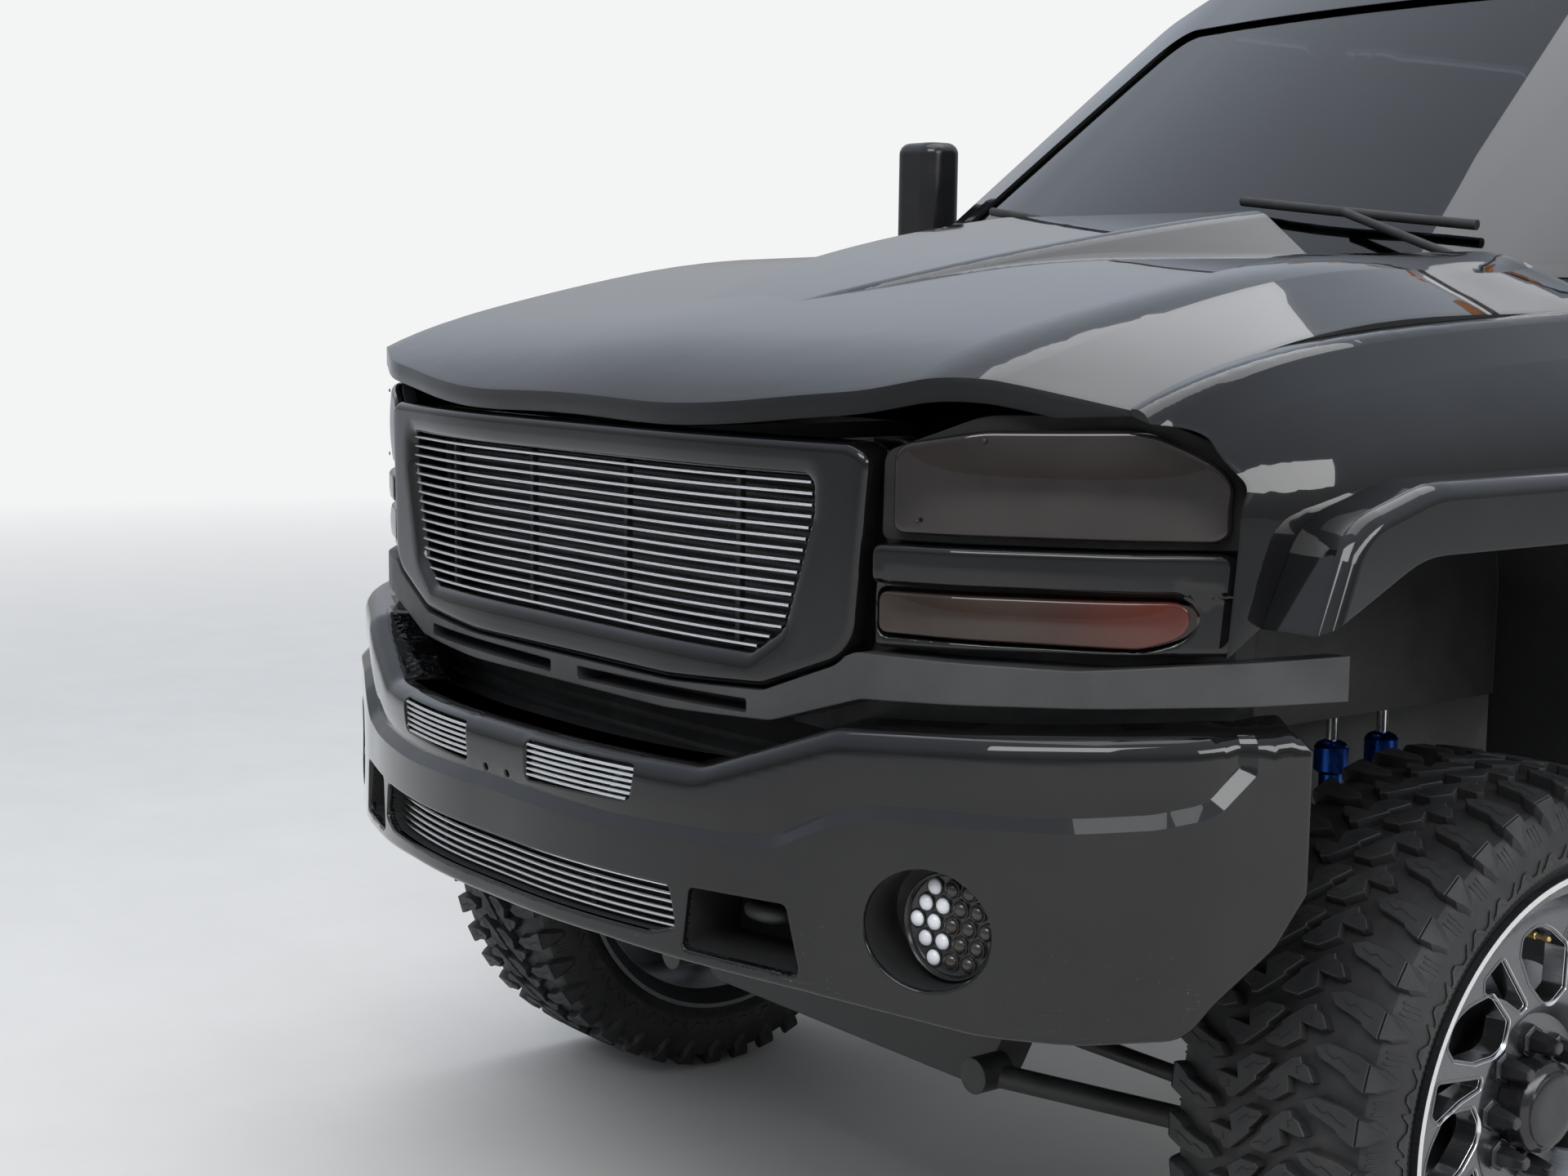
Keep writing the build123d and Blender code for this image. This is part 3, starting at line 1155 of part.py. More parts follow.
def make_bed():
    half = [(BED_INNER_X, BED_FLOOR_HIGH), (BED_INNER_X, BED_RAIL_HEIGHT)] + list(reversed(bed_side_line()))
    half += [(BED_INNER_X - 10, 775), (BED_INNER_X - 10, BED_FLOOR_LOW)]
    bed = front_prism(symmetric(list(reversed(half))), BED_FRONT, BED_REAR)
    head = symmetric([(BED_INNER_X, BED_FLOOR_LOW), (BED_INNER_X, BED_RAIL_HEIGHT - 10)])
    bed += front_prism(head, BED_FRONT, BED_FRONT + 55)
    gate_room = block((-BED_INNER_X - 1, BED_INNER_X + 1), (BED_REAR - 85, BED_REAR + 10),
                      (BED_FLOOR_LOW - 10, BED_RAIL_HEIGHT + 10))
    bed -= gate_room
    house = side_prism([(REAR_AXLE - 560, BED_FLOOR_LOW + 10), (REAR_AXLE - 480, 1240, 120),
                        (REAR_AXLE + 480, 1240, 120), (REAR_AXLE + 560, BED_FLOOR_LOW + 10)], 600, 900)
    bed += both_sides(house)
    well = [(REAR_AXLE - 500, 700), (REAR_AXLE - 500, 1040, 100), (REAR_AXLE - 380, 1190, 160),
            (REAR_AXLE + 380, 1190, 160), (REAR_AXLE + 500, 1040, 100), (REAR_AXLE + 500, 700)]
    bed -= both_sides(side_prism(well, 640, 1100))
    for station in (BED_FRONT + 60, 4300, 5380, 5740):
        bed += block((-RAIL_OUTER, RAIL_OUTER), (station, station + 60), (RAIL_HIGH, BED_FLOOR_LOW))
    pin = TAILGATE_PIN_HEIGHT
    for side in (-1, 1):
        bed += rod((side * (BED_INNER_X + 10), BED_REAR - TAILGATE_PIN_SETBACK, pin),
                   (side * (BED_INNER_X - 40), BED_REAR - TAILGATE_PIN_SETBACK, pin), 9)
    for side in (-1, 1):
        lamp = [(side * (BED_INNER_X + 14), 1180, 20), (side * (BED_INNER_X + 14), 1500, 20),
                (side * 1100, 1500, 0), (side * 1100, 1180, 0)]
        bed -= front_prism(lamp, BED_REAR - 60, BED_REAR + 20)
    return bed


def make_tail_lamps():
    lamps = None
    for side in (-1, 1):
        outline = [(side * (BED_INNER_X + 15), 1181, 19), (side * (BED_INNER_X + 15), 1499, 19),
                   (side * 958, 1499, 10), (side * 974, 1340, 300), (side * 984, 1181, 10)]
        lamp = front_prism(outline, BED_REAR - 60 + SEAT_GAP, BED_REAR + 12)
        lamps = lamp if lamps is None else lamps + lamp
    return lamps


def make_tailgate():
    gap = 7
    width = BED_INNER_X - gap
    start = BED_REAR - TAILGATE_THICKNESS
    gate = block((-width, width), (start, BED_REAR), (TAILGATE_PIN_HEIGHT - 24, BED_RAIL_HEIGHT - 2))
    gate -= block((-width + 120, width - 120), (BED_REAR - 6, BED_REAR + 1), (1130, 1440), 0)
    station = BED_REAR - TAILGATE_PIN_SETBACK
    for side in (-1, 1):
        gate -= rod((side * (width + 1), station, TAILGATE_PIN_HEIGHT),
                    (side * (width - 36), station, TAILGATE_PIN_HEIGHT), 9.3)
    return gate


def make_rear_bumper():
    low = 640
    high = 905
    shell = plan_prism([(-985, 5925), (-985, 5985, 40), (-930, LENGTH, 40), (930, LENGTH, 40), (985, 5985, 40),
                        (985, 5925)], low, high)
    shell -= plan_prism([(-975, 5900), (-975, 5975, 30), (-925, LENGTH - 12, 30), (925, LENGTH - 12, 30),
                         (975, 5975, 30), (975, 5900)], low - 10, high - 10)
    shell -= front_prism([(-170, 700), (-170, 870), (170, 870), (170, 700)], LENGTH - 40, LENGTH + 10)
    recess = front_prism([(-180, 690), (-180, 880), (180, 880), (180, 690)], LENGTH - 60, LENGTH - 12)
    recess -= front_prism([(-170, 700), (-170, 870), (170, 870), (170, 700)], LENGTH - 50, LENGTH + 10)
    shell += recess
    for side in (-1, 1):
        x = side_span(side, RAIL_INNER, RAIL_OUTER)
        shell += block(x, (RAIL_REAR + SEAT_GAP, LENGTH - 11), (720, 850))
    shell += hitch()
    return shell


RECEIVER_HALF = 25.4
RECEIVER_WALL = 6.4
RECEIVER_HEIGHT = 560
HITCH_PIN_RADIUS = 8
HITCH_PIN_SETBACK = 60


def hitch():
    outer = RECEIVER_HALF + RECEIVER_WALL
    z = RECEIVER_HEIGHT
    tube = block((-outer, outer), (5700, LENGTH - 10), (z - outer, z + outer))
    cross = block((-RAIL_INNER, RAIL_INNER), (5740, 5800), (z - 30, z + 30))
    hitch_body = tube + cross
    for side in (-1, 1):
        x = side_span(side, RAIL_INNER - 10, RAIL_INNER)
        hitch_body += block(x, (5700, LENGTH - HITCH_PIN_SETBACK - 40), (z - 30, RAIL_LOW - SEAT_GAP))
    for side in (-1, 1):
        x = side_span(side, RAIL_INNER - 10, RAIL_OUTER)
        hitch_body += block(x, (5700, LENGTH - HITCH_PIN_SETBACK - 40), (RAIL_LOW - 8, RAIL_LOW - SEAT_GAP))
        hitch_body += block(x, (RAIL_REAR + SEAT_GAP, LENGTH - 20), (RAIL_LOW - 8, 725))
    hitch_body -= block((-RECEIVER_HALF, RECEIVER_HALF), (5790, LENGTH), (z - RECEIVER_HALF, z + RECEIVER_HALF))
    pin = LENGTH - HITCH_PIN_SETBACK
    hitch_body -= rod((-60, pin, z), (60, pin, z), HITCH_PIN_RADIUS)
    return hitch_body


# Interior

def make_dashboard():
    floor = FLOOR_LOW + FLOOR_THICKNESS
    dash = side_prism([(FIREWALL_REAR + 1, 1180), (FIREWALL_REAR + 1, 1420, 30), (1700, 1400, 60),
                       (1790, 1330, 40), (1740, 1180, 40)], -800, 800)
    console = block((-120, 120), (FIREWALL_REAR + 1, 2300), (floor, 1180), 30)
    column = rod((400, 1700, 1290), (400, 1880, 1340), 32)
    wheel_plane = Plane(origin=(400, y_at(1890), 1343), z_dir=(0, 180, 50))
    rim = wheel_plane * Torus(185, 15)
    hub = wheel_plane * Cylinder(48, 36)
    spokes = None
    for angle in (0, 120, 240):
        spoke = wheel_plane * (Rot(0, 0, angle - 90) * (Pos(90, 0, 0) * Box(190, 26, 14)))
        spokes = spoke if spokes is None else spokes + spoke
    return dash + console + column + rim + hub + spokes


def seat(x, station, width):
    """A plain seat: a base on a plinth, a cushion and a back with a head rest."""
    floor = FLOOR_LOW + FLOOR_THICKNESS
    half = width / 2
    side = side_prism([(station + 40, floor), (station + 20, 1180), (station, 1240, 40), (station, 1320, 50),
                       (station + 430, 1290, 60), (station + 560, 1860, 60), (station + 680, 1840, 50),
                       (station + 600, 1200, 60), (station + 520, floor)], x - half, x + half)
    return side


def make_seats():
    seats = seat(400, 1950, 520) + seat(-400, 1950, 520)
    rear = seat(0, 3060, 1360)
    return seats + rear


def make_cowl():
    width = HOOD_HALF_WIDTH - 10
    outline = symmetric([(width, CAB_FRONT - SEAT_GAP), (width, HOOD_REAR + 50), (790, HOOD_REAR + 50),
                         (720, HOOD_REAR + 10), (250, HOOD_REAR_MIDDLE + 10, 800)])
    panel = plan_prism(outline, 1430, COWL_HEIGHT)
    profile = [(1150, 1430), (1150, COWL_FRONT_HEIGHT), (1290, COWL_FRONT_HEIGHT), (1312, COWL_HEIGHT),
               (CAB_FRONT, COWL_HEIGHT), (CAB_FRONT, 1430)]
    panel &= side_prism(profile, -1000, 1000)
    for side in (-1, 1):
        x = side * HOOD_HINGE_X
        panel -= block((x - 20, x + 20), (HOOD_REAR, HOOD_HINGE + 20), (1400, 1600))
        pin = rod((x - 30, HOOD_HINGE, HOOD_HINGE_HEIGHT), (x + 30, HOOD_HINGE, HOOD_HINGE_HEIGHT),
                  HINGE_PIN_RADIUS)
        ears = block((x - 30, x - 19), (HOOD_HINGE - 8, HOOD_HINGE + 25), (1436, 1463))
        ears += block((x + 19, x + 30), (HOOD_HINGE - 8, HOOD_HINGE + 25), (1436, 1463))
        panel += pin + ears
    return panel


def glass_station(x, height):
    """Station of the windshield's outer surface at a place."""
    share = (abs(x) - 250) / 450
    curve = -45 if share < 0 else -45 + 105 * share
    return WINDSHIELD_BASE_STATION + curve + (height - WINDSHIELD_BASE_HEIGHT) / PILLAR_SLOPE


def on_windshield(x, height, ahead):
    """A place ahead of the windshield's outer surface."""
    return (x, glass_station(x, height) - ahead, height)


def make_wipers():
    """Two arms from pivots in the cowl, each with a blade bent along the foot of the windshield."""
    wipers = None
    for x, station, foot in ((600, 1324, COWL_HEIGHT), (-110, 1226, COWL_FRONT_HEIGHT)):
        pivot = rod((x, station, foot + SEAT_GAP), (x, station, 1532), 10)
        reach = x - 300
        corner = 250 if x > 0 else -250
        inner = (reach - 230, corner, reach + 230)
        run = min(corner - inner[0], inner[2] - corner)
        arm = rod((x, station, 1524), on_windshield(reach, 1610, 20), 7)
        line = [on_windshield(place, 1640 - 0.1 * (place - reach + 300), 14.5) for place in inner]
        blade = tube_path(line, 8, 6 * run)
        wiper = pivot + arm + blade
        wipers = wiper if wipers is None else wipers + wiper
    return wipers


def make_mirror():
    """A tall tow mirror on two arms from the front door."""
    head = block((1105, 1235), (1745, 1845), (1560, 1800), 40)
    head = fillet(head.faces().sort_by(Axis.Z)[-1].edges() + head.faces().sort_by(Axis.Z)[0].edges(), 24)
    arm_low = rod((930, 1790, 1500), (1120, 1790, 1600), 14)
    return head + arm_low - Pos(SEAT_GAP, 0, 0) * cab_outer_body(1700, 1900)


def export(name, shape):
    export_step(shape, os.path.join("parts", name + ".step"))


def flip(shape):
    return mirror(shape, about=Plane.YZ)


def build():
    nodes = {}
    nodes["frame"] = make_frame()
    nodes["cab_shell"] = make_cab_shell()
    nodes["cab_glass"] = make_cab_glass()
    doors = (("front", front_door_outline, front_window_outline, FRONT_DOOR, REAR_DOOR - 260),
             ("rear", rear_door_outline, rear_window_outline, REAR_DOOR, DOORS_END - 270))
    for place, outline, window, station, handle in doors:
        door = make_door(outline, window, station) + door_handle(handle)
        glass = make_door_glass(window, station)
        nodes["door_" + place + "_left"] = door
        nodes["door_" + place + "_right"] = flip(door)
        nodes["door_glass_" + place + "_left"] = glass
        nodes["door_glass_" + place + "_right"] = flip(glass)
    mirror_left = make_mirror()
    nodes["mirror_left"] = mirror_left
    nodes["mirror_right"] = flip(mirror_left)
    nodes["hood"] = make_hood()
    nodes["front_fenders"] = make_front_fenders()
    nodes["wheel_arch_flares"] = make_flares()
    nodes["wheel_liners"] = make_wheel_liners()
    nodes["front_bumper"] = make_front_bumper()
    nodes["billet_grilles"] = make_grilles()
    nodes["grille_surround"] = make_grille_surround()
    nodes["headlamps"] = make_headlamps()
    nodes["lamp_bezels"] = make_bezels()
    nodes["amber_lamps"] = make_amber_lamps()
    nodes["front_valance"] = make_valance()
    nodes["fog_lamps"] = make_fog_lamps()
    nodes["radiator_support"] = make_radiator_support()
    nodes["radiator"] = make_radiator()
    nodes["engine"] = make_engine()
    nodes["control_arms"] = make_control_arms()
    nodes["shock_absorbers"] = make_shocks()
    nodes["steering_knuckle_left"] = make_knuckle(1)
    nodes["steering_knuckle_right"] = make_knuckle(-1)
    nodes["tie_rod"] = make_tie_rod()
    for name, piece in (("tyre", make_tyre()), ("wheel", make_wheel())):
        nodes[name + "_front_left"] = piece
        nodes[name + "_front_right"] = flip(piece)
        nodes[name + "_rear_left"] = at_rear_axle(piece)
        nodes[name + "_rear_right"] = at_rear_axle(flip(piece))
    nodes["rear_axle"] = make_rear_axle()
    nodes["leaf_springs"] = make_leaf_springs()
    nodes["driveline"] = make_driveline()
    nodes["front_axle"] = make_front_axle()
    nodes["exhaust"] = make_exhaust()
    nodes["fuel_tank"] = make_fuel_tank()
    nodes["cargo_bed"] = make_bed()
    nodes["tailgate"] = make_tailgate()
    nodes["tail_lamps"] = make_tail_lamps()
    nodes["rear_bumper"] = make_rear_bumper()
    nodes["dashboard"] = make_dashboard()
    nodes["seats"] = make_seats()
    nodes["cowl_panel"] = make_cowl()
    nodes["wipers"] = make_wipers()
    return nodes


if __name__ == "__main__":
    os.makedirs("parts", exist_ok=True)
    for node, shape in build().items():
        export(node, shape)
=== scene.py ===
import bpy
import bmesh
import json
import numpy as np
from math import ceil, cos, exp, pi, radians, sin, sqrt, tan
from mathutils import Matrix, Vector
from mathutils.geometry import delaunay_2d_cdt


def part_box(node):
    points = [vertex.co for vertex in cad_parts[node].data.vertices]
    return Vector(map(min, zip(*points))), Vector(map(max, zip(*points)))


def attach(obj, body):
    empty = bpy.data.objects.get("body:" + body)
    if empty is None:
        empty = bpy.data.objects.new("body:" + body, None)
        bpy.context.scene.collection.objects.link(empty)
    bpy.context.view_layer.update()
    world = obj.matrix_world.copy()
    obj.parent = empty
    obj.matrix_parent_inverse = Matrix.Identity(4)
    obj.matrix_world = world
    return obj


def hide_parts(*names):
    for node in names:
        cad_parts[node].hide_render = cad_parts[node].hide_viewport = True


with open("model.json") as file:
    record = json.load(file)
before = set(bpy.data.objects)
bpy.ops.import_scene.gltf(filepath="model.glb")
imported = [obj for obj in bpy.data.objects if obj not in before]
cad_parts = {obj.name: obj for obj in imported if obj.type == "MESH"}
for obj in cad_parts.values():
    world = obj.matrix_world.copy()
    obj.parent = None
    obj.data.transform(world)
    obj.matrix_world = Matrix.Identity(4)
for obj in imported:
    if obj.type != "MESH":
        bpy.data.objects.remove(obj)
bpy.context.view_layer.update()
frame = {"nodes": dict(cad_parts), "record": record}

# Stations are metres behind the front bumper's face, as in the CAD.
HALF_LENGTH = 3.0135
MM = 0.001


def at(x, station, z):
    return Vector((x, station - HALF_LENGTH, z))


def at_mm(x, station, z):
    return at(x * MM, station * MM, z * MM)


def add_object(name, data):
    """A new object in the scene."""
    made = bpy.data.objects.new(name, data)
    bpy.context.scene.collection.objects.link(made)
    return made


# Camera, fitted to the photograph
CAMERA_PLACE = at(2.68926576, -1.575496, 1.47167361)
CAMERA_YAW = radians(52.2733)
CAMERA_PITCH = radians(7.27108)
CAMERA_ROLL = radians(0.68628)
CAMERA_LENS = 52.988
SENSOR_WIDTH = 36


def add_camera():
    yaw = CAMERA_YAW
    pitch = CAMERA_PITCH
    forward = Vector((-sin(yaw) * cos(pitch), cos(yaw) * cos(pitch), -sin(pitch)))
    right = Vector((cos(yaw), sin(yaw), 0))
    up = right.cross(forward)
    turned_right = right * cos(CAMERA_ROLL) + up * sin(CAMERA_ROLL)
    turned_up = up * cos(CAMERA_ROLL) - right * sin(CAMERA_ROLL)
    data = bpy.data.cameras.new("camera")
    data.sensor_width = SENSOR_WIDTH
    data.lens = CAMERA_LENS
    data.clip_start = 0.05
    data.clip_end = 200
    camera = add_object("camera", data)
    axes = Matrix((turned_right, turned_up, -forward)).transposed().to_4x4()
    camera.matrix_world = Matrix.Translation(CAMERA_PLACE) @ axes
    bpy.context.scene.camera = camera


# Materials

class Tree:
    """A short way to build a node tree."""

    def __init__(self, owner):
        owner.use_nodes = True
        self.tree = owner.node_tree

    def add(self, kind, sockets=(), **values):
        """A node with its properties, and a number, colour or link on each socket that is named."""
        node = self.tree.nodes.new(kind)
        for key, value in values.items():
            setattr(node, key, value)
        for key, value in dict(sockets).items():
            if isinstance(value, bpy.types.NodeSocket):
                self.link(value, node.inputs[key])
            else:
                node.inputs[key].default_value = value
        return node

    def link(self, source, target):
        self.tree.links.new(source, target)

    def math(self, operation, first, second=0):
        return self.add("ShaderNodeMath", {0: first, 1: second}, operation=operation).outputs["Value"]

    def ramp(self, source, stops):
        node = self.add("ShaderNodeValToRGB", {"Fac": source})
        elements = node.color_ramp.elements
        while len(elements) < len(stops):
            elements.new(0.5)
        for element, (place, colour) in zip(elements, stops):
            element.position = place
            element.color = colour + (1,)
        return node.outputs["Color"]

    def blend(self, factor, first, second, output):
        """Mixes two shaders by a factor and makes them the tree's surface."""
        sockets = {0: factor, 1: first.outputs[0], 2: second.outputs[0]}
        node = self.add("ShaderNodeMixShader", sockets)
        self.link(node.outputs["Shader"], self.tree.nodes[output].inputs["Surface"])


class Nodes(Tree):
    """The node tree of a new material."""

    def __init__(self, name):
        self.material = bpy.data.materials.new(name)
        super().__init__(self.material)
        self.shader = self.tree.nodes["Principled BSDF"]
        self.place = self.add("ShaderNodeTexCoord").outputs["Object"]

    def set(self, **values):
        for key, value in values.items():
            self.shader.inputs[key.replace("_", " ")].default_value = value

    def clear_coat(self, specular):
        """A smooth clear coat over a base with little gloss of its own."""
        self.set(Specular_IOR_Level=specular, Coat_Weight=1, Coat_Roughness=0.01, Coat_IOR=1.45)

    def noise(self, scale, detail, rough, stretch=None):
        place = self.place
        if stretch:
            place = self.add("ShaderNodeMapping", {"Vector": place, "Scale": stretch}).outputs["Vector"]
        sockets = {"Vector": place, "Scale": scale, "Detail": detail, "Roughness": rough}
        return self.add("ShaderNodeTexNoise", sockets).outputs["Fac"]

    def cells(self, scale):
        return self.add("ShaderNodeTexVoronoi", {"Vector": self.place, "Scale": scale}).outputs["Distance"]

    def axis(self, name):
        """One coordinate of the surface's place."""
        return self.add("ShaderNodeSeparateXYZ", {"Vector": self.place}).outputs[name]

    def waves(self, name, length):
        """Ripples of one length along an axis."""
        return self.math("SINE", self.math("MULTIPLY", self.axis(name), 2 * pi / length))

    def distance(self, spot):
        """The distance from a spot."""
        node = self.add("ShaderNodeVectorMath", {0: self.place, 1: spot}, operation="DISTANCE")
        return node.outputs["Value"]

    def span(self, source, low, high, start=0.3, end=0.7):
        """From low to high while the source runs from start to end."""
        sockets = {"Value": source, "From Min": start, "From Max": end, "To Min": low, "To Max": high}
        return self.add("ShaderNodeMapRange", sockets).outputs["Result"]

    def mix(self, first, second, factor):
        """Two colours, each a source or three numbers, mixed by a factor."""
        first, second = (value + (1,) if isinstance(value, tuple) else value for value in (first, second))
        sockets = {"A": first, "B": second, "Factor": factor}
        return self.add("ShaderNodeMix", sockets, data_type="RGBA").outputs["Result"]

    def colour(self, source):
        self.link(source, self.shader.inputs["Base Color"])

    def roughness(self, source):
        self.link(source, self.shader.inputs["Roughness"])

    def round_edges(self, radius):
        """Shades hard edges as if they were rounded."""
        node = self.add("ShaderNodeBevel", {"Radius": radius}, samples=4)
        self.link(node.outputs["Normal"], self.shader.inputs["Normal"])

    def bump(self, source, strength, distance):
        """Fine relief on top of the relief that is already there."""
        node = self.add("ShaderNodeBump", {"Strength": strength, "Distance": distance, "Height": source})
        before = self.shader.inputs["Normal"].links
        if before:
            self.link(before[0].from_socket, node.inputs["Normal"])
        self.link(node.outputs["Normal"], self.shader.inputs["Normal"])


# Scratches and chips start below the first height and are full below the second
SCUFF_TOP = 0.74
SCUFF_BOTTOM = 0.6
WORN_PAINT = (0.11, 0.1, 0.09)


def gloss_paint(name, edge):
    """Black paint under clear coat, with faint dust and, low down, fine scratches and stone chips."""
    m = Nodes(name)
    m.round_edges(edge)
    m.clear_coat(0.05)
    paint = m.ramp(m.noise(3, 6, 0.7), [(0.35, (0.0035, 0.0035, 0.004)), (0.75, (0.008, 0.008, 0.008))])
    low = m.span(m.axis("Z"), 0, 1, SCUFF_TOP, SCUFF_BOTTOM)
    lines = m.span(m.noise(26, 3, 0.5, (1, 1, 30)), 0, 1, 0.66, 0.72)
    chips = m.span(m.noise(190, 2, 0.4), 0, 1, 0.7, 0.74)
    patches = m.span(m.noise(5, 3, 0.6), 0, 1, 0.48, 0.6)
    worn = m.math("MULTIPLY", m.math("MULTIPLY", m.math("ADD", lines, chips), low), patches)
    m.colour(m.mix(paint, WORN_PAINT, worn))
    m.roughness(m.math("ADD", m.span(m.noise(9, 5, 0.6), 0.05, 0.12), m.math("MULTIPLY", worn, 0.4)))
    m.bump(m.noise(70, 2, 0.5), 0.008, 0.0006)
    return m.material


def polished_metal():
    m = Nodes("polished_billet")
    m.set(Metallic=1)
    streaks = m.noise(40, 3, 0.6, (1, 25, 25))
    m.colour(m.ramp(streaks, [(0.3, (0.66, 0.66, 0.66)), (0.7, (0.86, 0.86, 0.86))]))
    m.roughness(m.span(streaks, 0.12, 0.26))
    m.bump(m.noise(300, 2, 0.5, (1, 20, 20)), 0.03, 0.0002)
    return m.material


def plastic(name, colour, low, high, grain, strength):
    m = Nodes(name)
    m.round_edges(0.003)
    worn = m.noise(6, 6, 0.65)
    light = tuple(min(1, c * 1.5 + 0.004) for c in colour)
    m.colour(m.ramp(worn, [(0.35, colour), (0.75, light)]))
    m.roughness(m.span(m.noise(18, 4, 0.6), low, high))
    m.bump(m.cells(grain), strength, 0.0004)
    return m.material


def coated_metal(name, colour, low, high, bump=0.15):
    m = Nodes(name)
    m.round_edges(0.003)
    m.set(Specular_IOR_Level=0.5)
    grime = m.noise(7, 7, 0.7)
    dusty = tuple(c * 0.6 + 0.04 for c in colour)
    m.colour(m.ramp(grime, [(0.42, colour), (0.8, dusty)]))
    m.roughness(m.span(grime, low, high))
    m.bump(m.noise(160, 3, 0.6), bump, 0.0006)
    return m.material


def bare_metal(name, colour, low, high, stretch=None, bump=0.05):
    m = Nodes(name)
    m.set(Metallic=1)
    lines = m.noise(60, 4, 0.6, stretch)
    dark = tuple(c * 0.72 for c in colour)
    m.colour(m.ramp(lines, [(0.3, dark), (0.7, colour)]))
    m.roughness(m.span(lines, low, high))
    m.bump(m.noise(240, 3, 0.6, stretch), bump, 0.0003)
    return m.material


FIN_SPACING = 0.004
TUBE_SPACING = 0.011


def radiator_fins():
    """Aluminium fins: fine upright lines between level tubes."""
    m = Nodes("radiator_fins")
    m.set(Metallic=0.6)
    tubes = m.waves("Z", TUBE_SPACING)
    stops = [(0.3, (0.02, 0.02, 0.021)), (0.8, (0.07, 0.07, 0.075))]
    m.colour(m.ramp(m.span(tubes, 0, 1, -1, 1), stops))
    m.roughness(m.span(m.noise(14, 4, 0.6), 0.45, 0.65))
    m.bump(m.waves("X", FIN_SPACING), 0.4, 0.0008)
    m.bump(tubes, 0.5, 0.002)
    return m.material


def rubber():
    m = Nodes("tyre_rubber")
    m.set(Specular_IOR_Level=0.4)
    dust = m.noise(9, 7, 0.7)
    m.colour(m.ramp(dust, [(0.38, (0.012, 0.012, 0.013)), (0.62, (0.022, 0.022, 0.022)),
                           (0.85, (0.05, 0.047, 0.043))]))
    m.roughness(m.span(m.noise(30, 5, 0.6), 0.42, 0.7))
    m.bump(m.noise(90, 5, 0.65), 0.25, 0.0008)
    m.bump(m.noise(420, 3, 0.6), 0.2, 0.0004)
    return m.material


def tinted_glass():
    m = Nodes("tinted_glass")
    m.set(Base_Color=(0.03, 0.036, 0.05, 1), Transmission_Weight=1, IOR=1.5)
    m.roughness(m.span(m.noise(5, 4, 0.6), 0.0, 0.02))
    m.bump(m.noise(2.2, 2, 0.5), 0.01, 0.002)
    return m.material


def smoked_lens(name, colour):
    m = Nodes(name)
    m.clear_coat(0.1)
    m.colour(m.ramp(m.noise(12, 3, 0.5), [(0.35, tuple(c * 0.6 for c in colour)), (0.7, colour)]))
    m.roughness(m.span(m.noise(14, 3, 0.5), 0.04, 0.1))
    m.bump(m.noise(20, 2, 0.5), 0.01, 0.0005)
    return m.material


# Above the first height a lens is smoked amber, above the second clear amber
AMBER_START = 1.5
AMBER_END = 1.6
MARKER_FLUTE = 0.006


def amber_lens():
    """Clear amber on the roof markers, smoked amber on the low turn lamps."""
    m = Nodes("amber_lens")
    m.clear_coat(0.1)
    amber = m.ramp(m.noise(12, 3, 0.5), [(0.35, (0.4, 0.11, 0.01)), (0.7, (0.62, 0.2, 0.02))])
    m.colour(m.mix((0.014, 0.009, 0.007), amber, m.span(m.axis("Z"), 0, 1, AMBER_START, AMBER_END)))
    m.roughness(m.span(m.noise(14, 3, 0.5), 0.04, 0.1))
    m.bump(m.waves("X", MARKER_FLUTE), 0.08, 0.0005)
    return m.material


# Where the turn lens gets a painted glow of its bulb, and a painted glint just beside it
PAINTED_GLOW_PLACE = at(0.852, 0.375, 1.1)
PAINTED_GLINT_PLACE = PAINTED_GLOW_PLACE + Vector((0.02, 0.022, 0.002))
TURN_FLUTE = 0.007


def turn_lens():
    """A smoked amber lens with upright flutes, warmer towards its outer end, with a painted glow where the
    bulb sits and a painted glint just beside it.
    """
    m = Nodes("smoked_turn_lens_painted_glow")
    m.clear_coat(0.1)
    smoke = m.ramp(m.noise(9, 4, 0.6), [(0.35, (0.018, 0.011, 0.008)), (0.7, (0.032, 0.018, 0.012))])
    reach = m.span(m.math("ABSOLUTE", m.axis("X")), 0, 1, 0.76, 0.88)
    lens_with_painted_glow = m.mix(smoke, (0.07, 0.014, 0.008), reach)
    # A painted glow on the bulb and a painted glint beside it, mixed into the lens colour
    for place, size in ((PAINTED_GLOW_PLACE, 0.011), (PAINTED_GLINT_PLACE, 0.007)):
        bulb = m.span(m.distance(place), 1, 0, size * 0.4, size)
        lens_with_painted_glow = m.mix(lens_with_painted_glow, (0.95, 0.2, 0.05), bulb)
    m.colour(lens_with_painted_glow)
    m.roughness(m.span(m.noise(14, 3, 0.5), 0.05, 0.1))
    m.bump(m.waves("X", TURN_FLUTE), 0.05, 0.0006)
    return m.material


def leather():
    m = Nodes("seat_leather")
    m.set(Specular_IOR_Level=0.45)
    m.colour(m.ramp(m.noise(8, 6, 0.65), [(0.35, (0.018, 0.017, 0.016)), (0.75, (0.045, 0.042, 0.038))]))
    m.roughness(m.span(m.noise(16, 4, 0.6), 0.38, 0.58))
    m.bump(m.cells(240), 0.35, 0.0006)
    m.bump(m.noise(30, 5, 0.6), 0.2, 0.001)
    return m.material


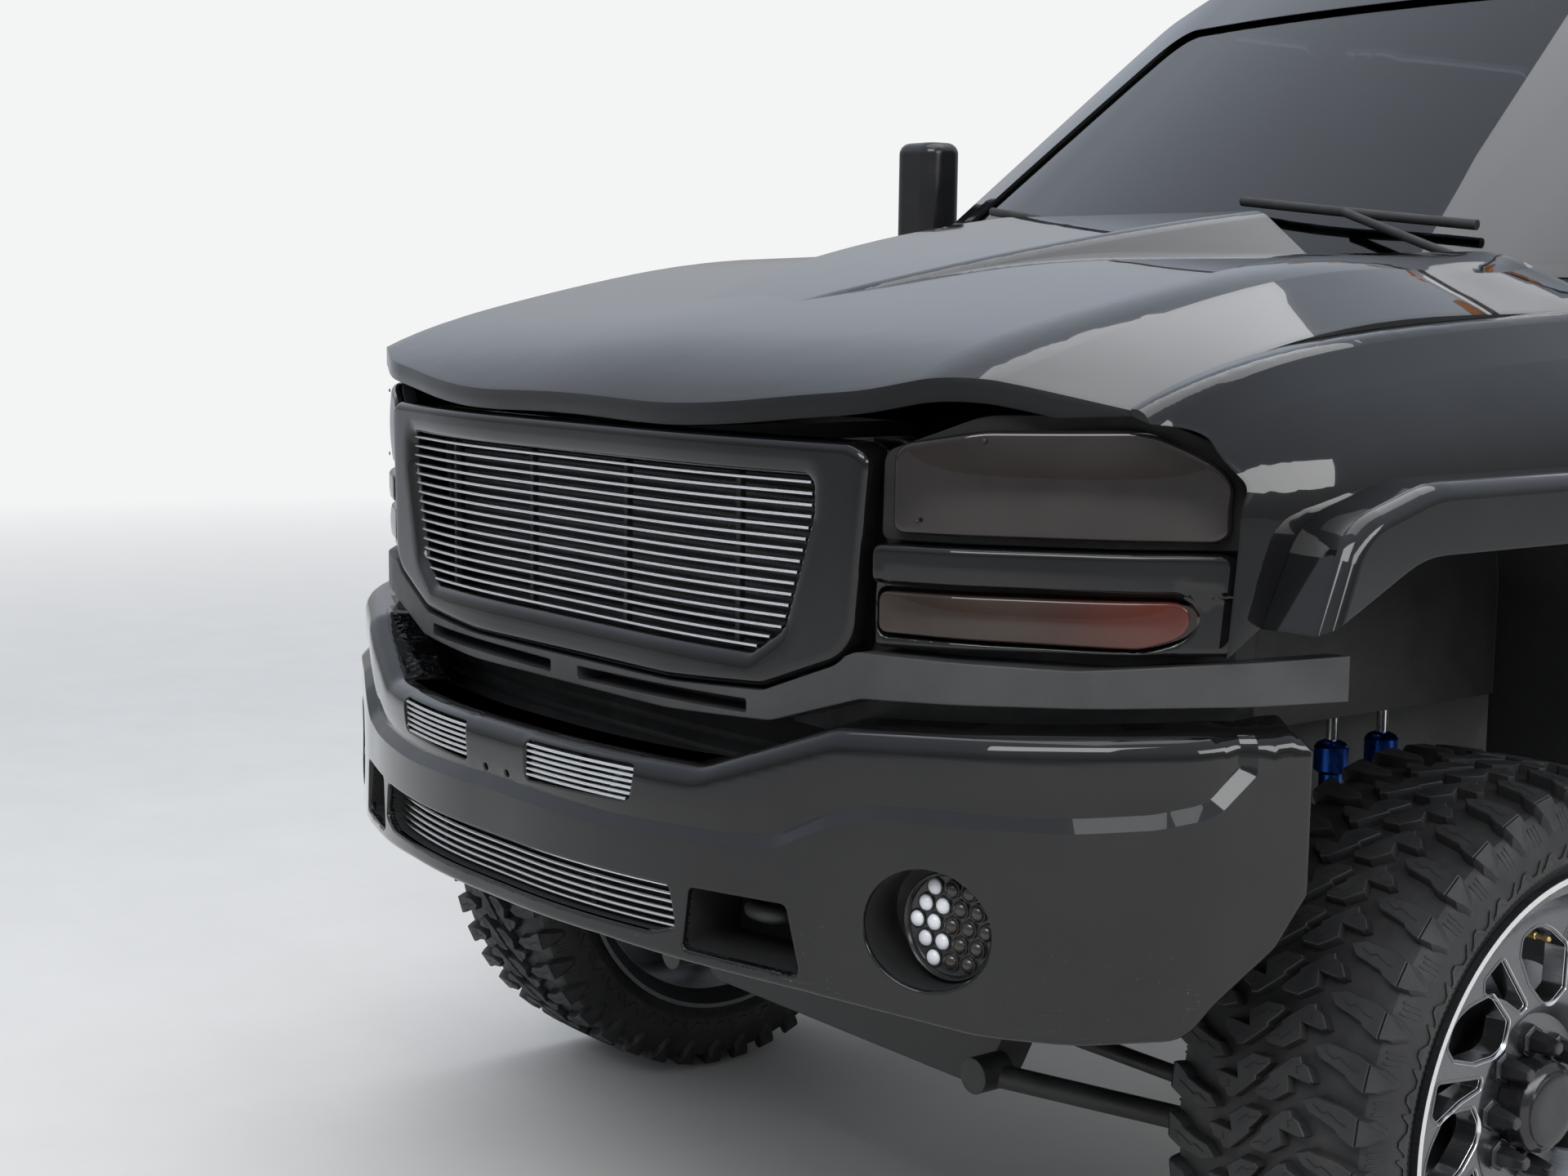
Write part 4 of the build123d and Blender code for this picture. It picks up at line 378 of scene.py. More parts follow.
MATERIALS = {
    "gloss_black": gloss_paint("gloss_black_paint", 0.004),
    "tinted_glass": tinted_glass(),
    "black_plastic": plastic("black_plastic", (0.012, 0.012, 0.012), 0.5, 0.75, 500, 0.25),
    "dark_trim": plastic("dark_trim", (0.03, 0.03, 0.031), 0.36, 0.5, 700, 0.15),
    "gloss_trim": plastic("gloss_trim", (0.01, 0.01, 0.011), 0.12, 0.25, 300, 0.03),
    "lamp_black": plastic("lamp_black", (0.01, 0.01, 0.01), 0.12, 0.3, 300, 0.05),
    "polished_aluminium": polished_metal(),
    "smoked_lens": smoked_lens("smoked_lens", (0.018, 0.014, 0.012)),
    "amber_lens": amber_lens(),
    "red_lens": smoked_lens("red_lens", (0.16, 0.006, 0.006)),
    "radiator_alloy": radiator_fins(),
    "chassis_black": coated_metal("chassis_black", (0.012, 0.012, 0.012), 0.35, 0.65),
    "bronze_anodised": bare_metal("bronze_anodised", (0.62, 0.5, 0.36), 0.2, 0.32, (1, 1, 20)),
    "engine_iron": coated_metal("engine_iron", (0.08, 0.08, 0.085), 0.5, 0.8, 0.4),
    "axle_iron": coated_metal("axle_iron", (0.02, 0.02, 0.02), 0.4, 0.7, 0.3),
    "knuckle_iron": coated_metal("knuckle_iron", (0.1, 0.09, 0.08), 0.5, 0.8, 0.5),
    "spring_steel": coated_metal("spring_steel", (0.02, 0.02, 0.02), 0.5, 0.75, 0.3),
    "exhaust_steel": bare_metal("exhaust_steel", (0.5, 0.46, 0.42), 0.3, 0.5, (1, 14, 1)),
    "cabin_plastic": plastic("cabin_plastic", (0.02, 0.02, 0.021), 0.55, 0.8, 420, 0.35),
    "seat_leather": leather(),
    "tyre_rubber": rubber(),
    "wheel_alloy": bare_metal("gunmetal_alloy", (0.2, 0.205, 0.215), 0.26, 0.42, (1, 1, 24)),
}

# Finishes that no slot has
HOOD_PAINT = gloss_paint("hood_paint", 0.018)
# The turn lens with its painted glow and painted glint
TURN_LENS_PAINTED_GLOW = turn_lens()
BLUE_ANODISED = bare_metal("blue_anodised", (0.02, 0.09, 0.42), 0.22, 0.34, None, 0.02)
BRASS = bare_metal("brass", (0.7, 0.5, 0.2), 0.25, 0.4)
# One kind of LED lens in two copies: painted lit, near white as a painted reflection, and painted shade
PAINTED_LIT_LENS = smoked_lens("led_lens_painted_lit", (0.85, 0.87, 0.9))
PAINTED_SHADE_LENS = smoked_lens("led_lens_painted_shade", (0.04, 0.035, 0.03))
# Painted shade: a black darker than the black plastic, on the tyres' sipe strips and on the black linings,
# housings and sleeves in gaps and recesses
RECESS_SHADE_BLACK = plastic("recess_shade_black", (0.003, 0.003, 0.003), 0.7, 0.9, 300, 0.05)


def dress_nodes():
    slots = {row["node"]: row["material_slot"] for row in frame["record"]["subparts"]}
    for name, piece in frame["nodes"].items():
        material = HOOD_PAINT if name == "hood" else MATERIALS[slots[name]]
        if not piece.data.materials:
            piece.data.materials.append(material)
        for index in range(len(piece.material_slots)):
            piece.material_slots[index].material = material


# Pieces

SIDES = ((1, "left"), (-1, "right"))
ORIGIN = Vector((0, 0, 0))


def add_piece(name, mesh, body, slot, material=None, sharp=35):
    """A new piece that rides on a body and takes a slot's finish."""
    mesh.materials.append(material or MATERIALS[slot])
    mesh.polygons.foreach_set("use_smooth", [True] * len(mesh.polygons))
    mesh.set_sharp_from_angle(angle=radians(sharp))
    piece = add_object(name, mesh)
    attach(piece, body)
    return piece


def mesh_of(name, places, faces):
    mesh = bpy.data.meshes.new(name)
    mesh.from_pydata([tuple(p) for p in places], [], faces)
    mesh.validate()
    return mesh


def mirrored(mesh, name):
    """The same mesh on the other side of the truck."""
    other = mesh.copy()
    other.name = name
    other.transform(Matrix.Diagonal((-1, 1, 1, 1)))
    other.flip_normals()
    return other


class Build:
    """Corners and faces gathered for one mesh."""

    def __init__(self):
        self.places = []
        self.faces = []

    def ring(self, places):
        start = len(self.places)
        self.places += [tuple(p) for p in places]
        return list(range(start, len(self.places)))

    def join(self, first, second, closed=True):
        """Faces between two rings of as many corners."""
        count = len(first)
        for i in range(count if closed else count - 1):
            j = (i + 1) % count
            self.faces.append((first[i], first[j], second[j], second[i]))

    def loft(self, rings, capped=True):
        """A skin over a row of rings; it faces outward if they run anticlockwise seen from the last one."""
        for first, second in zip(rings, rings[1:]):
            self.join(first, second)
        if capped:
            self.faces += [tuple(rings[-1]), tuple(reversed(rings[0]))]

    def mesh(self, name):
        return mesh_of(name, self.places, self.faces)


def turns(count):
    """Angles spaced evenly round a circle."""
    return [2 * pi * i / count for i in range(count)]


def lathe(build, profile, centre, segments, capped=False):
    """A surface of revolution about an axis along X; the profile is x and radius, in mm."""
    rings = []
    for x, radius in profile:
        spokes = [Vector((x, -radius * sin(angle), radius * cos(angle))) for angle in turns(segments)]
        rings.append(build.ring([centre + spoke * MM for spoke in spokes]))
    build.loft(rings, capped)


def upright_lathe(build, profile, centre, segments):
    """A closed surface of revolution about an upright axis; the profile is height and radius, in mm."""
    rings = []
    for z, radius in profile:
        spokes = [Vector((radius * cos(angle), radius * sin(angle), z)) for angle in turns(segments)]
        rings.append(build.ring([centre + spoke * MM for spoke in spokes]))
    build.loft(rings)


# Lines and outlines

def spread(way, height, radius, count, depth):
    """A circle on a plan line, as its ways, depth and heights."""
    angles = np.array(turns(count))
    return way + radius * np.cos(angles), depth, height + radius * np.sin(angles)


def corner_arc(before, here, after, radius, step):
    """Points along the arc that rounds one corner."""
    back = (before - here).normalized()
    on = (after - here).normalized()
    half = back.angle(on) / 2
    centre = here + (back + on).normalized() * (radius / sin(half))
    start = here + back * (radius / tan(half)) - centre
    turn = pi - 2 * half
    side = 1 if (-back).cross(on) > 0 else -1
    steps = max(3, ceil(radius * turn / step))
    arc = []
    for k in range(steps + 1):
        angle = side * turn * k / steps
        arc.append(centre + Vector((start.x * cos(angle) - start.y * sin(angle),
                                    start.x * sin(angle) + start.y * cos(angle))))
    return arc


def rounded(points, step, closed):
    """A line through corners (a, b, corner radius), as points along its runs and arcs."""
    count = len(points)
    corners = [Vector(p[:2]) for p in points]
    line = []
    for i, point in enumerate(points):
        radius = point[2] if len(point) == 3 else 0
        if radius and (closed or 0 < i < count - 1):
            line += corner_arc(corners[i - 1], corners[i], corners[(i + 1) % count], radius, step)
        else:
            line.append(corners[i])
    spaced = []
    for start, end in zip(line, line[1:] + line[:1] if closed else line[1:]):
        parts = max(1, ceil((end - start).length / step))
        spaced += [start.lerp(end, k / parts) for k in range(parts)]
    if not closed:
        spaced.append(line[-1])
    return np.array([(p.x, p.y) for p in spaced])


def on_side(points, side):
    """Points listed for the side of +X, on that side (1) or mirrored to the other (-1)."""
    return [(side * p[0], *p[1:]) for p in points]


def symmetric(half):
    """A closed outline from its half on the side of +X, listed without points on the centre line."""
    return list(half) + on_side(reversed(half), -1)


def distances(points, line, closed):
    """The distance of each point from a line of straight pieces."""
    start = line if closed else line[:-1]
    end = np.roll(line, -1, axis=0) if closed else line[1:]
    run = end - start
    size = np.maximum((run ** 2).sum(1), 1e-12)
    best = np.full(len(points), 1e9)
    for a, d, s in zip(start, run, size):
        share = np.clip(((points - a) @ d) / s, 0, 1)
        gap = points - (a + share[:, None] * d)
        best = np.minimum(best, (gap ** 2).sum(1))
    return np.sqrt(best)


def inside(points, outline):
    """Which points lie inside a closed outline."""
    within = np.zeros(len(points), bool)
    for a, b in zip(outline, np.roll(outline, -1, axis=0)):
        crosses = (a[1] > points[:, 1]) != (b[1] > points[:, 1])
        if a[1] != b[1]:
            reach = (b[0] - a[0]) * (points[:, 1] - a[1]) / (b[1] - a[1]) + a[0]
            within ^= crosses & (points[:, 0] < reach)
    return within


def moved_in(line, amount, closed):
    """A line moved to its left by an amount."""
    before = np.roll(line, 1, axis=0)
    after = np.roll(line, -1, axis=0)
    if not closed:
        before[0] = line[0]
        after[-1] = line[-1]
    run = after - before
    size = np.maximum(np.sqrt((run ** 2).sum(1)), 1e-9)
    left = np.stack((-run[:, 1], run[:, 0]), axis=1) / size[:, None]
    return line + left * amount


def anticlockwise(outline):
    after = np.roll(outline, -1, axis=0)
    area = (outline[:, 0] * after[:, 1] - outline[:, 1] * after[:, 0]).sum()
    return outline if area > 0 else outline[::-1]


class PlanLine:
    """A plan line of the nose in millimetres, found by the distance along it from the middle."""

    def __init__(self, half):
        self.line = rounded([(0, half[0][1])] + half, 5, False)
        steps = np.sqrt((np.diff(self.line, axis=0) ** 2).sum(1))
        self.along = np.concatenate(([0], np.cumsum(steps)))
        run = np.gradient(self.line, axis=0)
        run /= np.sqrt((run ** 2).sum(1))[:, None]
        run[0] = (1, 0)
        self.back = np.stack((-run[:, 1], run[:, 0]), axis=1)

    def way(self, x):
        """The distance along the line at which it reaches x."""
        return np.sign(x) * np.interp(np.abs(x), self.line[:, 0], self.along)

    def spots(self, way, depth, height):
        """Places in metres from the way along the line, the depth behind it and the height."""
        way, depth, height = np.broadcast_arrays(way, depth, height)
        side = np.where(way < 0, -1, 1)
        far = np.abs(way)
        x, station = (np.interp(far, self.along, self.line[:, i])
                      + depth * np.interp(far, self.along, self.back[:, i]) for i in range(2))
        return np.stack((side * x * MM, station * MM - HALF_LENGTH, height * MM), axis=1)

    def unroll(self, outline, step, closed=True):
        """An outline seen from the front, in the line's own way and height."""
        line = rounded(outline, step, closed)
        return np.stack((self.way(line[:, 0]), line[:, 1]), axis=1)


# Plan lines of the nose, half of each, as in the CAD: x, station, corner radius
BUMPER_LINE = PlanLine([(260, 0, 1200), (560, 105, 900), (830, 235, 400), (950, 385, 150), (990, 520)])
FACE_LINE = PlanLine([(300, 118, 1500), (590, 168, 300), (700, 218, 300), (850, 330, 250), (955, 450, 150),
                      (1003, 560)])


def quarter_round(distance, radius):
    """How far a rounded edge falls back at a distance from the edge."""
    short = np.clip(radius - distance, 0, radius)
    return radius - np.sqrt(radius ** 2 - short ** 2)


# Rows of points just inside a rounded edge, as shares of its radius, and how near to an edge a point may lie
RIM_SHARES = (0.06, 0.2, 0.42, 0.7, 1, 1.6, 2.3)
LEAST_GAP = 0.25
GRID_GAP = 0.45
SLIVER = 1e-3

# Each second row of a triangle grid is shifted by half a step, and rows lie this share of a step apart
ROW_SHARE = 0.87


def rim_points(outline, radius):
    """Points just inside an edge, close enough together for its rounding."""
    points = np.concatenate([moved_in(outline, radius * share, True) for share in RIM_SHARES])
    wanted = np.repeat([radius * share for share in RIM_SHARES], len(outline))
    return points[distances(points, outline, True) > wanted * 0.9]


def within(points, outline, holes):
    """Which points lie inside an outline and in none of its holes."""
    found = inside(points, outline)
    for hole in holes:
        found &= ~inside(points, hole)
    return found


def flat_pattern(outline, holes, creases, spacing, edge, hole_edge):
    """The points and triangles of a panel before it is bent, with its creases among their sides."""
    low = outline.min(0)
    high = outline.max(0)
    grid = np.array([(a + (spacing / 2 if row % 2 else 0), b)
                     for row, b in enumerate(np.arange(low[1], high[1], spacing * ROW_SHARE))
                     for a in np.arange(low[0], high[0], spacing)])
    rims = [rim_points(outline, edge)] if edge else []
    rims += [rim_points(hole, hole_edge) for hole in holes if hole_edge]
    lines = [(loop, True) for loop in [outline] + holes] + [(crease, False) for crease in creases]
    free = np.concatenate([grid] + rims)
    keep = within(free, outline, holes)
    free = free[keep]
    clear = np.min([distances(free, loop, closed) for loop, closed in lines], axis=0)
    is_grid = np.arange(len(free)) < keep[:len(grid)].sum()
    free = free[clear > np.where(is_grid, max(spacing * GRID_GAP, edge * RIM_SHARES[-1] + 2), LEAST_GAP)]
    points = [Vector(p) for p in free]
    edges = []
    for loop, closed in lines:
        start = len(points)
        points += [Vector(p) for p in loop]
        count = len(loop)
        edges += [(start + i, start + (i + 1) % count) for i in range(count if closed else count - 1)]
    found, _, faces, _, _, _ = delaunay_2d_cdt(points, edges, [], 0, 1e-4)
    flat = np.array([(p.x, p.y) for p in found])
    faces = np.array([f for f in faces if len(f) == 3])
    faces = faces[within(flat[faces].mean(1), outline, holes)]
    a, b, c = (flat[faces[:, i]] for i in range(3))
    area = (b[:, 0] - a[:, 0]) * (c[:, 1] - a[:, 1]) - (b[:, 1] - a[:, 1]) * (c[:, 0] - a[:, 0])
    faces[area < 0] = faces[area < 0][:, ::-1]
    return flat, faces[np.abs(area) > SLIVER]


def panel_mesh(name, line, outline, holes, form, spacing, thickness, edge, hole_edge, creases=()):
    """A panel that follows a plan line: a flat pattern with holes and creases, bent to its form."""
    outline = anticlockwise(outline)
    holes = [anticlockwise(hole)[::-1] for hole in holes]
    flat, faces = flat_pattern(outline, holes, creases, spacing, edge, hole_edge)
    outer = distances(flat, outline, True)
    depth, height = form(flat)
    if edge:
        depth = depth + quarter_round(outer, edge)
    if hole_edge:
        for hole in holes:
            depth = depth + quarter_round(distances(flat, hole, True), hole_edge)
    front = line.spots(flat[:, 0], depth, height)
    back = line.spots(flat[:, 0], depth + thickness, height)
    count = len(front)
    faces = [tuple(int(i) for i in face) for face in faces]
    sides = {(face[i], face[(i + 1) % 3]) for face in faces for i in range(3)}
    rim = [(b, a, a + count, b + count) for a, b in sorted(sides) if (b, a) not in sides]
    behind = [tuple(i + count for i in reversed(face)) for face in faces]
    return mesh_of(name, np.concatenate((front, back)), faces + behind + rim)


def level(near):
    """A form that stays at one depth behind the plan line."""
    def form(flat):
        return np.full(len(flat), float(near)), flat[:, 1]
    return form


def domed(near, rise):
    """A form that swells smoothly towards its middle."""
    def form(flat):
        low = flat.min(0)
        high = flat.max(0)
        share = 2 * (flat - low) / (high - low) - 1
        swell = (1 - share[:, 0] ** 2) * (1 - share[:, 1] ** 2)
        return near - rise * swell, flat[:, 1]
    return form


# Front bumper, with its sunk cap, the bevel round the cap and the rolled top edge

BUMPER_TOP = [(0, 886), (400, 886, 60), (590, 958, 60), (950, 978, 200), (990, 981)]
BUMPER_SIDE = [(990, 782), (978, 720, 60), (940, 620, 30), (860, 611, 100), (760, 612, 300), (557, 632, 300),
               (250, 646, 500)]
CAP_LINE = [(0, 797), (256, 792, 300), (447, 796, 200), (520, 803, 80), (583, 837, 40), (643, 856, 60),
            (771, 860, 300), (850, 862, 300), (913, 869, 60), (953, 883, 24), (968, 930, 24), (969, 1100)]
CAP_DEPTH = 14
BEVEL_WIDTH = 15
CAP_SWELL = 7
TOP_ROLL = 26
TOP_SHELF = 46
BUMPER_EDGE = 7
BUMPER_WALL = 9
FOG_X = 706
FOG_HEIGHT = 730
FOG_RADIUS = 73
SMALL_GRILLE = [(78, 822, 8), (80, 877, 8), (304, 877, 8), (294, 829, 12)]
LOWER_OPENING = [(368, 734, 10), (380, 680, 10), (340, 668, 60)]
HOOK_OPENING = [(400, 736, 8), (536, 736, 8), (556, 650, 8), (390, 656, 8)]
PLATE_HOLE_X = 28
PLATE_HOLE_HEIGHT = 821
PLATE_HOLE = 4.5

# How softly the sunk cap swells back behind its bevel
CAP_EASE = 18


def circle(x, z, radius, count):
    return [(x + radius * cos(angle), z + radius * sin(angle)) for angle in turns(count)]


def make_bumper():
    line = BUMPER_LINE
    top = line.unroll(BUMPER_TOP, 8, False)
    raised = TOP_ROLL * (pi / 2 - 1) + TOP_SHELF
    upper = np.stack((top[:, 0], top[:, 1] + raised), axis=1)
    lower = line.unroll([(990, 1000)] + BUMPER_SIDE + [(0, 646)], 8, False)[1:]

    # The side's line stops below the shelf's outer end, and no point lies on the centre line
    half = np.concatenate((lower[lower[:, 1] < 960][::-1], upper[::-1]))
    half = half[half[:, 0] > 0.5]
    outline = np.concatenate((half, half[::-1] * (-1, 1)))
    cap = line.unroll(CAP_LINE, 7, False)
    cap_line = np.concatenate((cap[::-1] * (-1, 1), cap[1:]))
    cap_area = np.concatenate((cap_line, [(cap[-1, 0], 1400), (-cap[-1, 0], 1400)]))
    inner = moved_in(cap_line, BEVEL_WIDTH, False)
    creases = [crease[crease[:, 1] < upper[:, 1].max() + 5] for crease in (cap_line, inner)]
    holes = [line.unroll(symmetric(LOWER_OPENING), 7)]
    for side in (-1, 1):
        for hole in (SMALL_GRILLE, HOOK_OPENING):
            holes.append(line.unroll(on_side(hole, side), 7))
        holes.append(line.unroll(circle(side * FOG_X, FOG_HEIGHT, FOG_RADIUS, 48), 20))
        holes.append(line.unroll(circle(side * PLATE_HOLE_X, PLATE_HOLE_HEIGHT, PLATE_HOLE, 12), 20))

    def form(flat):
        """The front up to the rounded top edge, the shelf behind it, and the cap sunk into the front."""
        ceiling = np.interp(np.abs(flat[:, 0]), top[:, 0], top[:, 1])
        over = flat[:, 1] - (ceiling - TOP_ROLL)
        angle = np.clip(over / TOP_ROLL, 0, pi / 2)
        height = np.where(over > 0, ceiling - TOP_ROLL + TOP_ROLL * np.sin(angle), flat[:, 1])
        depth = np.where(over > 0, TOP_ROLL * (1 - np.cos(angle)), 0)
        depth += np.clip(over - TOP_ROLL * pi / 2, 0, None)
        reach = distances(flat, cap_line, False)
        swell = CAP_SWELL * (1 - np.exp(-(reach - BEVEL_WIDTH) / CAP_EASE))
        sunk = np.where(reach < BEVEL_WIDTH, CAP_DEPTH * reach / BEVEL_WIDTH, CAP_DEPTH - swell)
        depth += np.where(inside(flat, cap_area), sunk, 0)
        return depth, height

    mesh = panel_mesh("bumper_cover", line, outline, holes, form, 12, BUMPER_WALL, BUMPER_EDGE, 3, creases)
    cover = add_piece("bumper_cover", mesh, "body", "gloss_black", sharp=28)
    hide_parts("front_bumper")
    make_bumper_back()


def add_box(build, low, high):
    """A plain box between two corners."""
    x0, y0, z0 = low
    x1, y1, z1 = high
    build.loft([build.ring([(x0, y0, z), (x1, y0, z), (x1, y1, z), (x0, y1, z)]) for z in (z0, z1)])


BRACKET_X = 440
BRACKET_FRONT = 130
BRACKET_BACK = 250

# Opposite corners of a bracket's plates: x from its middle, height
BRACKET_PLATES = [((-40, 745), (40, 751)), ((-40, 834), (40, 840)), ((-4, 745), (4, 840))]


def make_bumper_back():
    """The brackets behind the bumper, out to the ends of the frame rails."""
    build = Build()
    for middle in (-BRACKET_X, BRACKET_X):
        for low, high in BRACKET_PLATES:
            add_box(build, at_mm(middle + low[0], BRACKET_FRONT, low[1]),
                    at_mm(middle + high[0], BRACKET_BACK, high[1]))
    add_piece("bumper_brackets", build.mesh("bumper_brackets"), "body", "chassis_black")


FILLER = [(640, 820), (800, 897), (800, 988), (400, 985), (250, 975)]
FILLER_DEPTH = 96
FILLER_RIB = 4
FILLER_RIB_PITCH = 26


def make_filler():
    """The black panel that closes the gap between bumper and valance, with its raised ribs, darkened further
    as painted shade.
    """
    outline = FACE_LINE.unroll(symmetric(FILLER), 20)

    def form(flat):
        ribs = np.cos(flat[:, 1] * 2 * pi / FILLER_RIB_PITCH)
        return FILLER_DEPTH + FILLER_RIB * ribs, flat[:, 1]

    mesh = panel_mesh("air_filler", FACE_LINE, outline, [], form, 14, 4, 0, 0)
    add_piece("air_filler", mesh, "body", "black_plastic", RECESS_SHADE_BLACK)


def make_tray(name, outline, depth):
    """A black lining behind one of the bumper's openings, darkened further as painted shade."""
    loop = anticlockwise(BUMPER_LINE.unroll(outline, 12))
    build = Build()
    rings = [build.ring(BUMPER_LINE.spots(loop[:, 0], near, loop[:, 1])) for near in (BUMPER_WALL - 2, depth)]
    build.loft(rings, False)
    add_piece(name + "_wall", build.mesh(name + "_wall"), "body", "black_plastic", RECESS_SHADE_BLACK)
    mesh = panel_mesh(name, BUMPER_LINE, loop, [], level(depth), 14, 3, 0, 0)
    add_piece(name, mesh, "body", "black_plastic", RECESS_SHADE_BLACK)


def make_trays():
    make_tray("lower_duct", symmetric(LOWER_OPENING), 66)
    for side, word in SIDES:
        make_tray("hook_pocket_" + word, on_side(HOOK_OPENING, side), 120)


# Grilles

GRILLE_OPENING = [(500, 1250, 12), (500, 1205, 30), (455, 1062, 30), (400, 1026, 25)]
BAR_HEIGHT = 4.6
SURROUND_OUTER = [(560, 1296, 40), (590, 1284, 20), (568, 1040, 60), (425, 985, 60), (250, 974, 400)]


def opening_span(outline, height, inset):
    """The lowest and highest x of an opening at a height."""
    line = rounded(outline, 4, True)
    reach = []
    for a, b in zip(line, np.roll(line, -1, axis=0)):
        if (a[1] > height) != (b[1] > height):
            reach.append(a[0] + (b[0] - a[0]) * (height - a[1]) / (b[1] - a[1]))
    return min(reach) + inset, max(reach) - inset


def add_bar(build, line, low_x, high_x, height, near, far):
    """A level bar with a round front, along the plan line."""
    start, end = line.way(np.array([low_x, high_x], float))
    half = BAR_HEIGHT / 2
    upper = [(far, half), (near + 3, half), (near + 0.9, half * 0.72)]
    profile = upper + [(near, 0)] + [(depth, -rise) for depth, rise in reversed(upper)]
    depths, rises = np.array(profile).T
    build.loft([build.ring(line.spots(way, depths, height + rises))
                for way in np.linspace(start, end, max(3, ceil((end - start) / 14)))])


def add_bars(build, line, outline, low, high, count, near, far):
    """Level bars across an opening, from one height to another."""
    for middle in np.linspace(low + BAR_HEIGHT / 2, high - BAR_HEIGHT / 2, count):
        add_bar(build, line, *opening_span(outline, middle, 1), middle, near, far)


def make_grille_bars():
    build = Build()
    add_bars(build, FACE_LINE, symmetric(GRILLE_OPENING), 1031, 1247, 16, 9, 22)
    for side in (-1, 1):
        add_bars(build, BUMPER_LINE, on_side(SMALL_GRILLE, side), 827, 872, 6, 10, 19)
    add_bars(build, BUMPER_LINE, symmetric(LOWER_OPENING), 672, 728, 6, 22, 33)
    bars = add_piece("grille_bars", build.mesh("grille_bars"), "body", "polished_aluminium", sharp=60)
    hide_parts("billet_grilles")
    make_grille_posts()


# The uprights behind the bars: plan line, x, lowest and highest point, depth
POSTS = [(FACE_LINE, 120, 1029, 1249, 24), (FACE_LINE, 361, 1029, 1249, 24), (BUMPER_LINE, 190, 826, 873, 20),
         (BUMPER_LINE, 200, 671, 731, 34)]
POST_HALF_WIDTH = 4
POST_THICKNESS = 9


def make_grille_posts():
    """The dark uprights behind the bars."""
    build = Build()
    for line, x, low, high, depth in POSTS:
        depths = np.array([depth, depth, depth + POST_THICKNESS, depth + POST_THICKNESS])
        for side in (-1, 1):
            start, end = line.way(np.array([side * x - POST_HALF_WIDTH, side * x + POST_HALF_WIDTH]))
            ways = np.array([start, end, end, start])
            build.loft([build.ring(line.spots(ways, depths, height)) for height in (low, high)])
    add_piece("grille_posts", build.mesh("grille_posts"), "body", "black_plastic")


SURROUND_BEVEL = 26
SURROUND_FALL = 8


def make_surround():
    outline = FACE_LINE.unroll(symmetric(SURROUND_OUTER), 8)
    hole = FACE_LINE.unroll(symmetric(GRILLE_OPENING), 7)

    def form(flat):
        share = np.clip(1 - distances(flat, hole, True) / SURROUND_BEVEL, 0, 1)
        return 1 + SURROUND_FALL * share * share, flat[:, 1]

    mesh = panel_mesh("grille_frame", FACE_LINE, outline, [hole], form, 12, 48, 10, 9)
    piece = add_piece("grille_frame", mesh, "body", "gloss_black", sharp=40)
    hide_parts("grille_surround")


# Lamps

LENS = [(618, 1191, 14), (618, 1297, 26), (722, 1317, 100), (870, 1322, 46), (936, 1275, 45), (936, 1193, 16)]
TURN_LENS = [(603, 1072, 11), (603, 1122, 11), (906, 1125, 15), (906, 1085.5, 29), (870, 1069, 29)]
TURN_HOLE = [(599, 1068, 14), (599, 1126, 14), (910, 1129, 18), (910, 1083.5, 32), (872, 1065, 32)]
BACKING = [(596, 1056), (596, 1176), (936, 1178), (936, 1066)]
BEZEL = [(594, 1053, 8), (594, 1178, 12), (941, 1181, 14), (941, 1062, 8)]
RIB_FOOT = 1139
RIB_SLOPE = 10
RIB_DROP = 9
RIB_NEAR = 4


def nose_pair(name, outline, holes, form, spacing, thickness, edge, hole_edge, slot, material=None):
    """A panel on the left of the nose and its mirror image."""
    flat = FACE_LINE.unroll(outline, 6)
    cut = [FACE_LINE.unroll(hole, 6) for hole in holes]
    mesh = panel_mesh(name + "_left", FACE_LINE, flat, cut, form, spacing, thickness, edge, hole_edge)
    other = mirrored(mesh, name + "_right")
    left = add_piece(name + "_left", mesh, "body", slot, material, 40)
    right = add_piece(name + "_right", other, "body", slot, material, 40)
    return left, right


def lamp_step(flat):
    """The bezel's upper rib stands proud of the part round the turn lens."""
    share = np.clip((RIB_FOOT - flat[:, 1]) / RIB_SLOPE, 0, 1)
    return RIB_NEAR + RIB_DROP * share * share * (3 - 2 * share), flat[:, 1]


def make_lamps():
    left, right = nose_pair("headlamp_lens", LENS, [], domed(11, 8), 9, 6, 6, 0, "smoked_lens")
    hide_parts("headlamps")
    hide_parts("headlamps")
    left, right = nose_pair("lamp_rib", BEZEL, [TURN_HOLE], lamp_step, 8, 30, 7, 4, "gloss_black")
    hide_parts("lamp_bezels")
    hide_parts("lamp_bezels")
    nose_pair("turn_lens", TURN_LENS, [], domed(8.5, 4), 7, 9, 3.5, 0, "amber_lens", TURN_LENS_PAINTED_GLOW)
    # The black backing behind the lamp's rib, darkened further as painted shade
    nose_pair("rib_backing", BACKING, [], level(40), 16, 8, 0, 0, "lamp_black", RECESS_SHADE_BLACK)
    make_lamp_pockets()


LAMP_SURROUND = [(597, 1182, 10), (599, 1286, 20), (720, 1334, 100), (872, 1338, 60), (950, 1290, 50),
                 (951, 1184, 10)]
STUDS = [(722, 1306), (650, 1208)]


